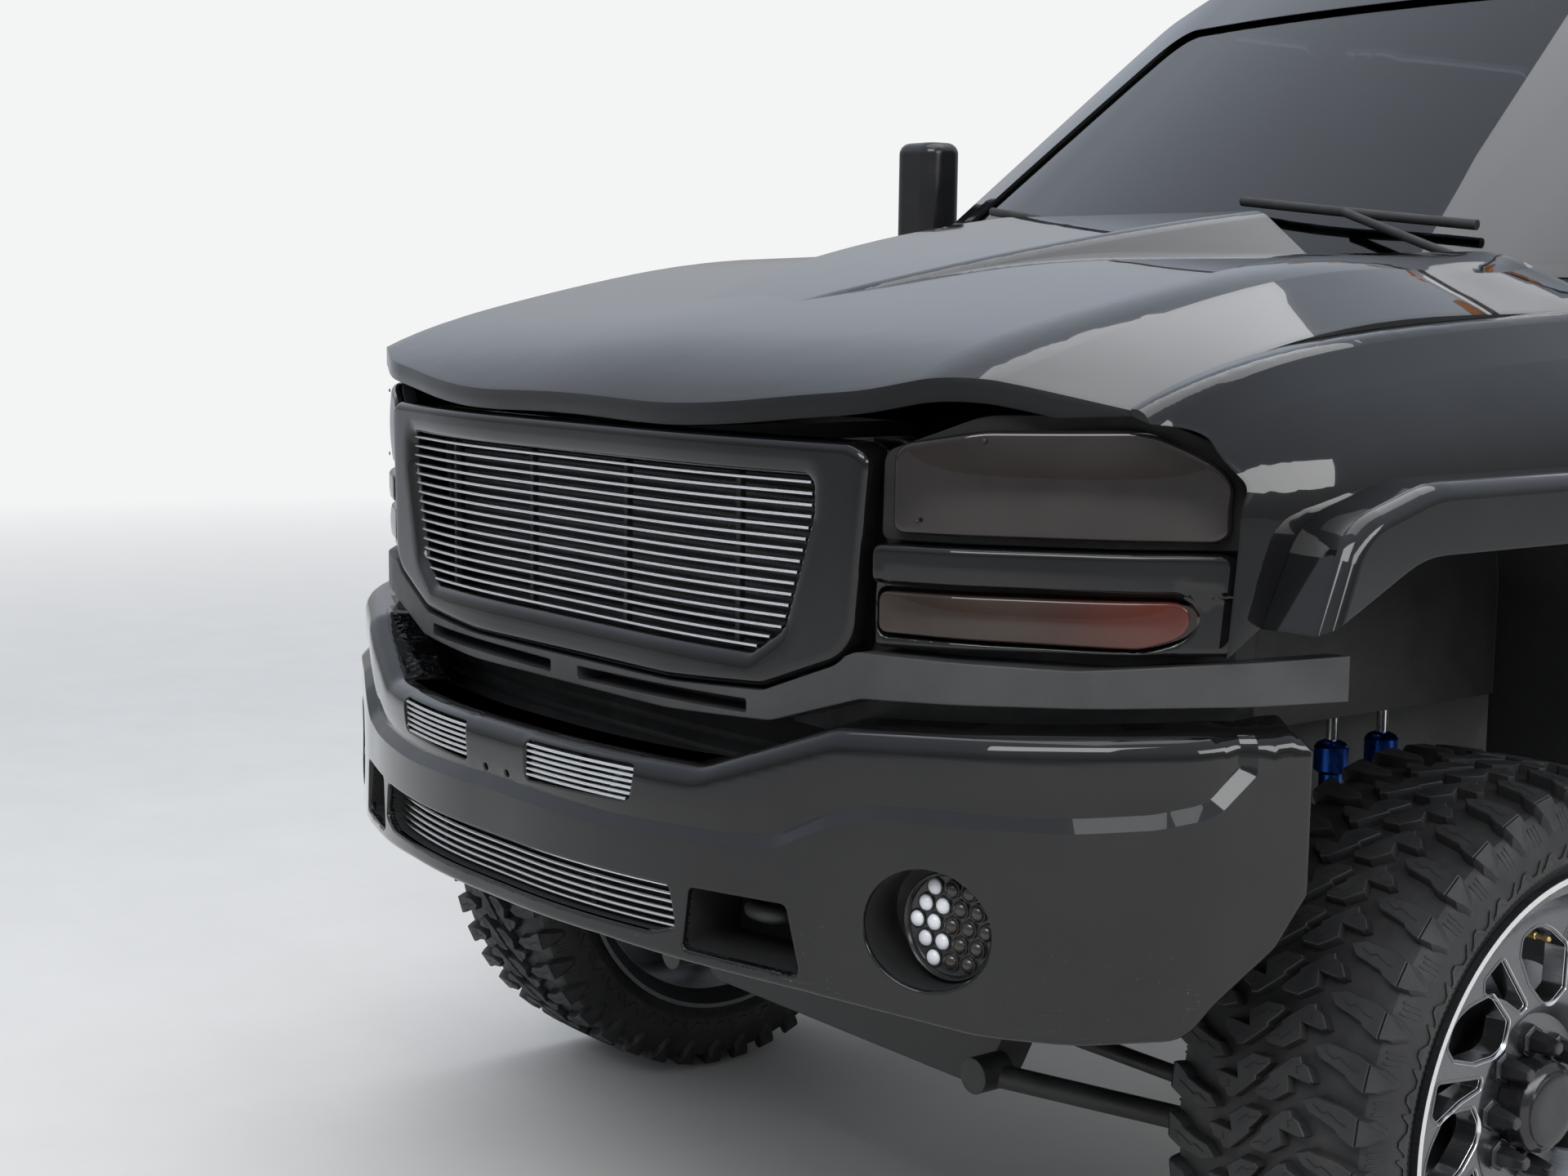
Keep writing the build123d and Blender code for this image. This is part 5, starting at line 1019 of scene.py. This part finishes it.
def make_lamp_pockets():
    """The black housing that shows in the gap round each headlamp, darkened further as painted shade, and its
    two small studs.
    """
    nose_pair("lamp_housing", LAMP_SURROUND, [], level(26), 16, 20, 0, 0, "lamp_black", RECESS_SHADE_BLACK)
    build = Build()
    for x, z in STUDS:
        way = FACE_LINE.way(x)
        foot, top = (build.ring(FACE_LINE.spots(*spread(way, z, radius, 10, depth)))
                     for radius, depth in ((3.2, 4), (2.4, 2.2)))
        build.join(foot, top)
        build.faces.append(tuple(top))
    mesh = build.mesh("lamp_studs_left")
    add_piece("lamp_studs_right", mirrored(mesh, "lamp_studs_right"), "body", "lamp_black")
    add_piece("lamp_studs_left", mesh, "body", "lamp_black")


# Fog lamps: round pods packed with small round lenses, painted lit on their outer half and painted shade on
# their inner half

POD_STATION = 214
POD_RADIUS = 66
POD_TILT = radians(12)
POD_SHELL = [(-50, 62), (-12, POD_RADIUS), (4, POD_RADIUS), (6, 64), (3, 61), (-2, 60), (-4, 55), (-4, 2)]
DOME_RADIUS = 10
DOME_RISE = 7
DOME_STEPS = 6
DOME_PITCH = 25
DOME = [(DOME_RISE * sin(pi / 2 * i / DOME_STEPS), DOME_RADIUS * cos(pi / 2 * i / DOME_STEPS))
        for i in range(DOME_STEPS)]
DOME_RING = [(-2, 11.8), (2, 11.8), (2, 10.2), (-2, 10.2)]
SLEEVE = [(5, FOG_RADIUS - 0.5), (26, FOG_RADIUS - 1), (90, POD_RADIUS + 3)]


def add_pod_part(name, build, matrix, finish=None):
    mesh = build.mesh(name)
    mesh.transform(matrix)
    return add_piece(name, mesh, "body", "lamp_black", finish)


def make_fog_pods():
    for side, word in SIDES:
        shell, bright, dark, rings = (Build() for _ in range(4))
        lathe(shell, POD_SHELL, ORIGIN, 64, True)
        for row in range(-3, 4):
            for column in range(-3, 4):
                across = (column + row % 2 / 2) * DOME_PITCH
                up = row * DOME_PITCH * ROW_SHARE
                if sqrt(across ** 2 + up ** 2) > POD_RADIUS - DOME_RADIUS - 3:
                    continue
                # Domes on the outer half are painted lit, near white as a painted reflection; the rest are
                # painted shade. All are one kind of lens.
                lit = across * side > 1
                spot = Vector((-3, -across, up)) * MM
                lathe(bright if lit else dark, DOME, spot, 18, True)
                lathe(rings, DOME_RING, spot, 18)
        turn = Matrix.Rotation(-pi / 2 + side * POD_TILT, 4, "Z")
        matrix = Matrix.Translation(at_mm(side * FOG_X, POD_STATION, FOG_HEIGHT)) @ turn
        pod = add_pod_part("fog_pod_" + word, shell, matrix)
        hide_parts("fog_lamps")
        add_pod_part("fog_dome_painted_lit_" + word, bright, matrix, PAINTED_LIT_LENS)
        add_pod_part("fog_dome_painted_shade_" + word, dark, matrix, PAINTED_SHADE_LENS)
        add_pod_part("fog_ring_" + word, rings, matrix)
        make_pod_rim(side, word)


def make_pod_rim(side, word):
    """The dark sleeve between the bumper's round hole and the pod, darkened further as painted shade."""
    build = Build()
    angles = side * np.array(turns(48))
    rings = []
    for depth, radius in SLEEVE:
        way = side * BUMPER_LINE.way(FOG_X + radius * np.cos(angles))
        rings.append(build.ring(BUMPER_LINE.spots(way, depth, FOG_HEIGHT + radius * np.sin(angles))))
    build.loft(rings, False)
    add_piece("fog_sleeve_" + word, build.mesh("fog_sleeve_" + word), "body", "lamp_black", RECESS_SHADE_BLACK)


# Tyres

TYRE_LOW, TYRE_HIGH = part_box("tyre_front_left")
TYRE_CENTRE = (TYRE_LOW + TYRE_HIGH) / 2
TYRE_RADIUS = (TYRE_HIGH.z - TYRE_LOW.z) / 2 / MM
PITCHES = 42
DEGREE = 2 * pi * TYRE_RADIUS / 360

# Across the tread and down the side wall: distance along it, distance from the middle, radius
CREST = np.array([(0, 0, 439.6), (60, 60, 439.2), (110, 110, 438), (143, 142, 434.5), (152, 149.5, 429),
                  (170, 154.5, 411.7), (190, 157, 391.9), (205, 158.4, 377), (225, 158, 357),
                  (240, 154, 342.5), (252, 147, 332.8), (257, 142, 327)])
CARCASS = np.array([(0, 0, 425), (60, 60, 424.5), (110, 110, 422.5), (143, 139, 417), (152, 145, 411),
                    (170, 150.5, 397.5), (190, 154.5, 384), (205, 156.4, 372), (225, 156, 355),
                    (240, 151.5, 341), (252, 144.6, 330.6), (257, 141.4, 324)])

# Outlines of the tread's lugs: distance from the middle, degrees round the tyre
CENTRE_LUG = [(-8, 2.56), (-3, 3.18), (20, 3.17), (42, 0.97), (36, -1.53), (67, -1.21), (74, -1.69),
              (63, -3.61), (52, -4.05), (48, -4.95), (38, -4.61), (9, -0.86), (10, -0.21), (-1, 1.32)]
SHOULDER_LUG = [(63, 1.28), (83, 0.17), (125, 0.65), (143, 1.5), (143, 6.0), (132, 5.7), (120, 4.94),
                (115, 4.29), (92, 3.44), (75, 2.96)]
CENTRE_SIPE = [(-2, 2.2), (10, 1.5), (16, 1.9), (27, 0.3)]
OUTER_SIPE = [(50, -2.2), (47, -3.2), (54, -3.6)]
SHOULDER_SIPE = [(80, 1.5), (95, 2.4), (102, 1.9), (120, 3.0), (130, 3.2)]
SIDE_BLOCK = [(144, 1.55), (160, 1.75), (172, 2.5), (184, 2.9), (189, 3.75), (184, 4.6), (172, 5.0),
              (160, 5.75), (144, 5.95)]
SIDE_RIDGES = [[(154, 7.2), (186, 6.9), (186, 7.25), (154, 7.6)],
               [(156, 8.15), (188, 7.9), (188, 8.2), (156, 8.5)],
               [(154, 9.1), (186, 8.9), (186, 9.25), (154, 9.5)]]
ZIGZAG = [(212, 0.6), (226, 2.2), (226, 3.6), (212, 5.2), (212, 6.4), (226, 8.0), (226, 8.57), (231, 8.57),
          (231, 7.6), (217, 6.0), (217, 5.6), (231, 4.0), (231, 1.8), (217, 0.2), (212, 0.2)]
RIM_RIB = [(243, 0.3), (254, 0.3), (254, 0.75), (243, 0.75)]

STEP = 360 / PITCHES
RIBS_PER_PITCH = 6
BEAD = (137.6, 303.5)
SIPE_HALF_WIDTH = 0.75
SIPE_SHARE = 1.02

# Raised blocks of each pitch and of each second pitch: outline, then the shares of the crest's height at
# the foot, shoulder and top, then chamfer and spread
BLOCKS = [(CENTRE_LUG, -0.08, 0.92, 1, 1.3, 1.6), (SHOULDER_LUG, -0.08, 0.92, 1, 1.3, 1.6),
          (SIDE_BLOCK, -0.05, 0.7, 1, 1.5, 1.2)]
BLOCKS += [(ridge, 0, 0.12, 0.15, 0.4, 0.3) for ridge in SIDE_RIDGES]
BLOCKS += [([(a, b + rib * STEP / RIBS_PER_PITCH) for a, b in RIM_RIB], 0, 0.6, 1, 0.25, 0.2)
           for rib in range(RIBS_PER_PITCH)]
PAIR_BLOCKS = [([(a, b + shift) for a, b in ZIGZAG], 0, 0.75, 1, 0.4, 0.4) for shift in (0, 8.57)]


def tread_spot(across, degrees, share):
    """A place on the tyre, between its carcass (0) and its crest (1)."""
    side = -1 if across < 0 else 1
    reach = abs(across)
    x, radius = (np.interp(reach, CARCASS[:, 0], CARCASS[:, i]) * (1 - share)
                 + np.interp(reach, CREST[:, 0], CREST[:, i]) * share for i in (1, 2))
    angle = radians(degrees)
    return (side * x * MM, -radius * MM * sin(angle), radius * MM * cos(angle))


def unrolled(line, turn, start):
    """A line on the tread in mm, on one half (1) or turned round onto the other (-1)."""
    return np.array([(turn * a, (turn * b + start) * DEGREE) for a, b in line])


def tread_ring(build, line, share):
    return build.ring([tread_spot(a, b / DEGREE, share) for a, b in line])


def add_lug(build, turn, start, outline, foot, shoulder, top, chamfer, spread):
    """A raised block with sloped sides and a chamfered top."""
    flat = anticlockwise(unrolled(outline, turn, start))[::-1]
    rings = [tread_ring(build, moved_in(flat, amount, True), share)
             for amount, share in ((spread, foot), (0, shoulder), (-chamfer, top))]
    build.loft(rings, False)
    build.faces.append(tuple(rings[-1]))


def make_tyre_mesh():
    build = Build()
    half = [(x, radius) for _, x, radius in CARCASS] + [BEAD]
    lathe(build, on_side(reversed(half), -1) + half[1:], ORIGIN, PITCHES * 4)
    for i in range(PITCHES):
        for turn in (1, -1):
            for block in BLOCKS + (PAIR_BLOCKS if i % 2 == 0 else []):
                add_lug(build, turn, i * STEP, *block)
    return build.mesh("tyre")


def make_sipe_shade_mesh():
    """Thin strips drawn along the tops of the lugs: painted shade where the cuts (sipes) are."""
    build = Build()
    for i in range(PITCHES):
        for turn in (1, -1):
            for line in (CENTRE_SIPE, OUTER_SIPE, SHOULDER_SIPE):
                flat = unrolled(line, turn, i * STEP)
                left, right = (tread_ring(build, moved_in(flat, width, False), SIPE_SHARE)
                               for width in (SIPE_HALF_WIDTH, -SIPE_HALF_WIDTH))
                build.join(left, right, False)
    return build.mesh("tyre_sipe_shade")


# Wheels: bright machined edges, black covers and the valve stem over the plain alloy wheels

SPOKE_X = 1020
WINDOWS = 8
BIG_WINDOW = [(243, 15.5, 10), (250, 8, 40), (236, 1, 60), (212, -8.8, 8), (157, -11.2, 6), (136, -1, 20),
              (146, 7, 25), (178, 15, 15), (222, 17.8, 10)]
SMALL_WINDOW = [(240, 26.5, 6), (153, 19.5, 4), (152, 24.5, 4), (185, 31, 20), (226, 38.5, 6), (239, 36, 5)]
LUG_CIRCLE = 82.6
LUGS = 8

# Profiles about the wheel's axis, with x as on the left front wheel: x, radius
LIP = [(1064.5, 321.5), (1064.5, 313.6), (1061.5, 309.5), (1043, 289.4)]
SPIKE = [(996, 21.5), (999, 21.5), (1000.5, 19), (1001, 16), (1014, 15.2), (1031, 11.2), (1037, 9.2),
         (1038.5, 7)]
HUB_CAP = [(991, 61.5), (1012, 60.5), (1024, 59.5), (1028, 55), (1031, 50), (1034, 49), (1036, 45),
           (1037, 30), (1036, 8)]
VALVE = [(985, 5), (1003, 4.6), (1004, 3.4), (1014, 3.4), (1015, 4.2), (1022, 4.2), (1024, 2.6)]
VALVE_RADIUS = 226
VALVE_ANGLE = radians(3.5)

# The walls of the windows: x and how far they stand outside the outline
WINDOW_WALL = [(SPOKE_X + 0.5, 4), (SPOKE_X - 3.5, -0.4), (SPOKE_X - 33, -0.4)]


def wheel_spot(radius, angle):
    """The zero of a profile whose axis stands at a radius and angle on the wheel."""
    return Vector((-TYRE_CENTRE.x, -radius * MM * sin(angle), radius * MM * cos(angle)))


def make_machined_mesh():
    """The bright lip and the bright chamfers and walls of the windows."""
    build = Build()
    lathe(build, LIP, wheel_spot(0, 0), 96)
    for i in range(WINDOWS):
        for outline in (BIG_WINDOW, SMALL_WINDOW):
            corners = []
            for radius, degrees, corner in outline:
                angle = radians(degrees + i * 360 / WINDOWS)
                corners.append((radius * sin(angle), radius * cos(angle), corner))
            loop = anticlockwise(rounded(corners, 5, True))[::-1]
            rings = []
            for x, outward in WINDOW_WALL:
                edge = moved_in(loop, outward, True)
                rings.append(build.ring([wheel_spot(0, 0) + Vector((x, -a, b)) * MM for a, b in edge]))
            build.loft(rings, False)
    return build.mesh("wheel_machined")


def make_covers_mesh():
    """Black six-sided spike covers over the lugs, and the black hub cap."""
    build = Build()
    for angle in turns(LUGS):
        lathe(build, SPIKE, wheel_spot(LUG_CIRCLE, angle), 6, True)
    lathe(build, HUB_CAP, wheel_spot(0, 0), 64, True)
    return build.mesh("wheel_covers")


def make_valve_mesh():
    build = Build()
    lathe(build, VALVE, wheel_spot(VALVE_RADIUS, VALVE_ANGLE), 14, True)
    return build.mesh("valve_stem")


def make_wheels():
    pieces = [("tread", make_tyre_mesh(), "tyre_rubber", None, 30),
              ("tyre_sipe_shade", make_sipe_shade_mesh(), "tyre_rubber", RECESS_SHADE_BLACK, 80),
              ("wheel_machined", make_machined_mesh(), "polished_aluminium", None, 30),
              ("wheel_covers", make_covers_mesh(), "gloss_trim", None, 25),
              ("valve_stem", make_valve_mesh(), "wheel_alloy", BRASS, 40)]
    for corner in ("front_left", "front_right", "rear_left", "rear_right"):
        low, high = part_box("tyre_" + corner)
        centre = (low + high) / 2
        turn = Matrix.Diagonal((1 if centre.x > 0 else -1, 1, 1, 1))
        for name, mesh, slot, material, sharp in pieces:
            own = mesh.copy()
            own.transform(Matrix.Translation(centre) @ turn)
            if centre.x < 0:
                own.flip_normals()
            piece = add_piece(name + "_" + corner, own, "wheel_" + corner, slot, material, sharp)
            if name == "tread":
                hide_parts("tyre_" + corner)
    for _, mesh, _, _, _ in pieces:
        bpy.data.meshes.remove(mesh)


# Shock absorbers

SHOCK_X = 560
SHOCK_STATIONS = (1085, 1200)

# Height and radius
SHOCK_BODY = [(978, 20), (980, 29), (985, 32), (1168, 32), (1176, 29), (1180, 20)]
SHOCK_ROD = [(830, 8.5), (970, 8.5)]
UPPER_CLAMP = [(1096, 33), (1097, 35), (1117, 35), (1118, 33)]
BODY_END = [(966, 14), (967, 26), (972, 30), (984, 33.5), (990, 33.5), (991, 32)]
LOWER_MOUNT = [(722.5, 15), (726, 17), (786, 17), (792, 25), (826, 25), (832, 20), (836, 11)]

# The hoops over the shock absorbers and the legs that carry them: x, station, height
HOOP = [(SHOCK_X, 1045, 1150), (SHOCK_X, 1045, 1200), (SHOCK_X, 1250, 1200), (SHOCK_X, 1250, 1150)]
HOOP_LEG = [(442, 1145, 862), (442, 1145, 1198), (556, 1145, 1198)]


def add_tube(name, places, radius, bend):
    """A round black bar along straight runs with rounded corners."""
    curve = bpy.data.curves.new(name, "CURVE")
    curve.dimensions = "3D"
    curve.bevel_depth = radius
    curve.bevel_resolution = 4
    curve.use_fill_caps = True
    line = [places[0]]
    for before, here, after in zip(places, places[1:], places[2:]):
        start = here + (before - here).normalized() * bend
        end = here + (after - here).normalized() * bend
        line += [start * (1 - t) ** 2 + here * 2 * t * (1 - t) + end * t ** 2 for t in np.linspace(0, 1, 7)]
    line.append(places[-1])
    spline = curve.splines.new("POLY")
    spline.points.add(len(line) - 1)
    for target, place in zip(spline.points, line):
        target.co = (*place, 1)
    curve.materials.append(MATERIALS["chassis_black"])
    piece = add_object(name, curve)
    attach(piece, "body")


def make_shocks():
    bodies, clamps, rods = (Build() for _ in range(3))
    for side in (-1, 1):
        for station in SHOCK_STATIONS:
            centre = at_mm(side * SHOCK_X, station, 0)
            upright_lathe(bodies, SHOCK_BODY, centre, 40)
            upright_lathe(clamps, UPPER_CLAMP, centre, 40)
            upright_lathe(clamps, BODY_END, centre, 40)
            upright_lathe(clamps, LOWER_MOUNT, centre, 32)
            upright_lathe(rods, SHOCK_ROD, centre, 24)
    shocks = add_piece("shock_bodies", bodies.mesh("shock_bodies"), "body", "bronze_anodised")
    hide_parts("shock_absorbers")
    add_piece("shock_clamps", clamps.mesh("shock_clamps"), "body", "bronze_anodised", BLUE_ANODISED)
    add_piece("shock_rods", rods.mesh("shock_rods"), "body", "polished_aluminium")
    for side, word in SIDES:
        add_tube("shock_hoop_" + word, [at_mm(*p) for p in on_side(HOOP, side)], 0.013, 0.028)
        add_tube("shock_leg_" + word, [at_mm(*p) for p in on_side(HOOP_LEG, side)], 0.015, 0.05)


# Seats

PAD_VOXEL = 0.013
PAD_CAP = 0.026
PAD_FRAMES = 20
PAD_PRESSURE = 4
PAD_CORNER = 0.035
SEAM_DEPTH = 0.011
SEAM_WIDTH = 0.011
LEAST_FACING = 0.3


def rounded_box(low, high, radius, name):
    """A box with rounded edges, slightly pinched, from which a pad swells."""
    build = bmesh.new()
    bmesh.ops.create_cube(build, size=1)
    bmesh.ops.scale(build, vec=Vector(high) - Vector(low), verts=build.verts)
    bmesh.ops.translate(build, vec=(Vector(high) + Vector(low)) / 2, verts=build.verts)
    bmesh.ops.bevel(build, geom=build.edges[:], offset=radius, segments=3, profile=0.6, affect="EDGES")
    mesh = bpy.data.meshes.new(name)
    build.to_mesh(mesh)
    build.free()
    return mesh


def evaluated(piece):
    graph = bpy.context.evaluated_depsgraph_get()
    return bpy.data.meshes.new_from_object(piece.evaluated_get(graph))


def swell(piece):
    """Cloth under pressure, with each point's movement capped."""
    remesh = piece.modifiers.new("voxels", "REMESH")
    remesh.mode = "VOXEL"
    remesh.voxel_size = PAD_VOXEL
    piece.data = evaluated(piece)
    piece.modifiers.clear()
    start = [v.co.copy() for v in piece.data.vertices]
    cloth = piece.modifiers.new("cloth", "CLOTH")
    cloth.settings.use_pressure = True
    cloth.settings.uniform_pressure_force = PAD_PRESSURE
    cloth.settings.effector_weights.gravity = 0
    cloth.point_cache.frame_start = 1
    cloth.point_cache.frame_end = PAD_FRAMES
    for number in range(1, PAD_FRAMES + 1):
        bpy.context.scene.frame_set(number)
    swollen = evaluated(piece)
    piece.modifiers.clear()
    bpy.context.scene.frame_set(1)
    for vertex, old in zip(swollen.vertices, start):
        step = vertex.co - old
        if step.length > PAD_CAP:
            vertex.co = old + step.normalized() * PAD_CAP
    piece.data = swollen


def sew(mesh, channels, facing):
    """Sewn channels pressed into the side of a pad that faces one way; each is an axis and a place on it."""
    for vertex in mesh.vertices:
        near = vertex.normal.dot(facing)
        if near < LEAST_FACING:
            continue
        for axis, place in channels:
            gap = (vertex.co[axis] - place) / SEAM_WIDTH
            vertex.co -= vertex.normal * (SEAM_DEPTH * exp(-gap * gap) * min(1, near))


def finish_pad(piece):
    """A finer mesh for a pad, which then rides on the body."""
    finer = piece.modifiers.new("finer", "SUBSURF")
    finer.levels = 1
    finer.render_levels = 1
    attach(piece, "body")
    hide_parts("seats")
    return piece


def make_pad(name, low, high, tilt, pivot, channels, facing):
    piece = add_object(name, rounded_box(low, high, PAD_CORNER, name))
    swell(piece)
    sew(piece.data, channels, Vector(facing))
    turn = Matrix.Translation(pivot) @ Matrix.Rotation(tilt, 4, "X") @ Matrix.Translation(-Vector(pivot))
    piece.data.transform(turn)
    piece.data.materials.append(MATERIALS["seat_leather"])
    piece.data.polygons.foreach_set("use_smooth", [True] * len(piece.data.polygons))
    return finish_pad(piece)


SEAT_FLOOR = 0.96
CUSHION_TILT = radians(-3)
BACK_TILT = radians(-16)
BACK_FOOT = 1.24
FRONT_SEAT = (0.4, 1.95, 0.52)
REAR_BENCH = (0, 3.06, 1.36)
REAR_HEADREST_X = 0.4


def make_seat_base(name, x, station, width):
    build = Build()
    add_box(build, at(x - width / 2 + 0.04, station + 0.08, SEAT_FLOOR + 0.002),
            at(x + width / 2 - 0.04, station + 0.5, 1.17))
    piece = add_piece(name, build.mesh(name), "body", "cabin_plastic")
    soften = piece.modifiers.new("rounded", "BEVEL")
    soften.width = 0.02
    soften.segments = 3
    return piece


def make_seat(word, x, station, width):
    half = width / 2 - 0.02
    low = at(x - half, station + 0.03, 1.18)
    high = at(x + half, station + 0.5, 1.29)
    across = [(0, x - half * 0.55), (0, x + half * 0.55)]
    cushion = make_pad("seat_cushion_" + word, low, high, CUSHION_TILT, low,
                       across + [(1, low.y + 0.2), (1, low.y + 0.33)], (0, 0, 1))
    low = at(x - half, station + 0.46, BACK_FOOT)
    high = at(x + half, station + 0.56, 1.72)
    back = make_pad("seat_back_" + word, low, high, BACK_TILT, at(x, station + 0.5, BACK_FOOT),
                    across + [(2, 1.36), (2, 1.48), (2, 1.6)], (0, -1, 0))
    base = make_seat_base("seat_base_" + word, x, station, width)
    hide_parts("seats")
    return cushion, back


def make_headrest(name, x, station):
    low = at(x - 0.12, station + 0.48, 1.75)
    high = at(x + 0.12, station + 0.55, 1.88)
    return make_pad(name, low, high, BACK_TILT, at(x, station + 0.5, BACK_FOOT), [], (0, -1, 0))


def mirror_pad(piece, name):
    finish_pad(add_object(name, mirrored(piece.data, name)))


def make_seats():
    x, station, width = FRONT_SEAT
    cushion, back = make_seat("front_left", x, station, width)
    rest = make_headrest("headrest_front_left", x, station)
    mirror_pad(cushion, "seat_cushion_front_right")
    mirror_pad(back, "seat_back_front_right")
    mirror_pad(rest, "headrest_front_right")
    make_seat_base("seat_base_front_right", -x, station, width)
    make_seat("rear", *REAR_BENCH)
    rest = make_headrest("headrest_rear_left", REAR_HEADREST_X, REAR_BENCH[1])
    mirror_pad(rest, "headrest_rear_right")


# Surroundings

BACKDROP = (0.9, 0.905, 0.91, 1)
FLOOR_HALF = 60

# The floor starts to fade into the backdrop at the first distance and ends at the second
FADE_CENTRE = (0, -1.5, 0)
FADE_START = 5
FADE_END = 13

# The world's colour by height: a darker horizon under a pale, faintly blue top
SKY = [(0, (0.3, 0.3, 0.3)), (0.1, (0.38, 0.39, 0.4)), (0.4, (0.66, 0.72, 0.82)), (0.9, (0.8, 0.88, 1.0))]
SKY_STRENGTH = 0.9

# Name, place, aim, size and power
LAMPS = [("key", (3.5, -7.5, 6.5), (0, -1.5, 0.8), (6, 3), 380),
         ("side", (8.5, -0.5, 4.0), (0.5, -1, 0.8), (8, 2), 300),
         ("top", (0, 0, 9.0), (0, 0, 1), (7, 10), 420)]


def add_floor():
    """A pale floor that keeps the truck's shadow and fades into the backdrop."""
    size = FLOOR_HALF
    corners = [(-size, -size, 0), (size, -size, 0), (size, size, 0), (-size, size, 0)]
    mesh = mesh_of("floor", corners, [(0, 1, 2, 3)])
    floor = add_object("floor", mesh)
    m = Nodes("floor")
    m.set(Specular_IOR_Level=0.2)
    m.colour(m.ramp(m.noise(3, 6, 0.6), [(0.3, (0.6, 0.585, 0.56)), (0.7, (0.63, 0.615, 0.59))]))
    m.roughness(m.span(m.noise(20, 4, 0.6), 0.7, 0.9))
    far = m.span(m.distance(FADE_CENTRE), 0, 1, FADE_START, FADE_END)
    seen = m.math("MULTIPLY", far, m.add("ShaderNodeLightPath").outputs["Is Camera Ray"])
    m.blend(seen, m.shader, m.add("ShaderNodeEmission", {"Color": BACKDROP}), "Material Output")
    mesh.materials.append(m.material)


def add_world():
    """A plain world that is palest overhead; the camera and glass see it as a pale backdrop."""
    world = bpy.data.worlds.new("studio")
    bpy.context.scene.world = world
    w = Tree(world)
    direction = w.add("ShaderNodeTexCoord").outputs["Generated"]
    height = w.add("ShaderNodeSeparateXYZ", {"Vector": direction}).outputs["Z"]
    sky = w.tree.nodes["Background"]
    sky.inputs["Strength"].default_value = SKY_STRENGTH
    w.link(w.ramp(height, SKY), sky.inputs["Color"])
    backdrop = w.add("ShaderNodeBackground", {"Color": BACKDROP})
    path = w.add("ShaderNodeLightPath").outputs
    seen = w.math("MAXIMUM", path["Is Camera Ray"], path["Is Transmission Ray"])
    w.blend(seen, sky, backdrop, "World Output")


def add_light():
    for name, place, aim, size, power in LAMPS:
        data = bpy.data.lights.new(name, "AREA")
        data.shape = "RECTANGLE"
        data.size, data.size_y = size
        data.energy = power
        lamp = add_object(name, data)
        lamp.location = place
        lamp.rotation_euler = (Vector(aim) - Vector(place)).to_track_quat("-Z", "Y").to_euler()


add_camera()
dress_nodes()
make_bumper()
make_filler()
make_trays()
make_grille_bars()
make_surround()
make_lamps()
make_fog_pods()
make_wheels()
make_shocks()
make_seats()
add_floor()
add_world()
add_light()
bpy.context.scene.view_settings.view_transform = "Standard"
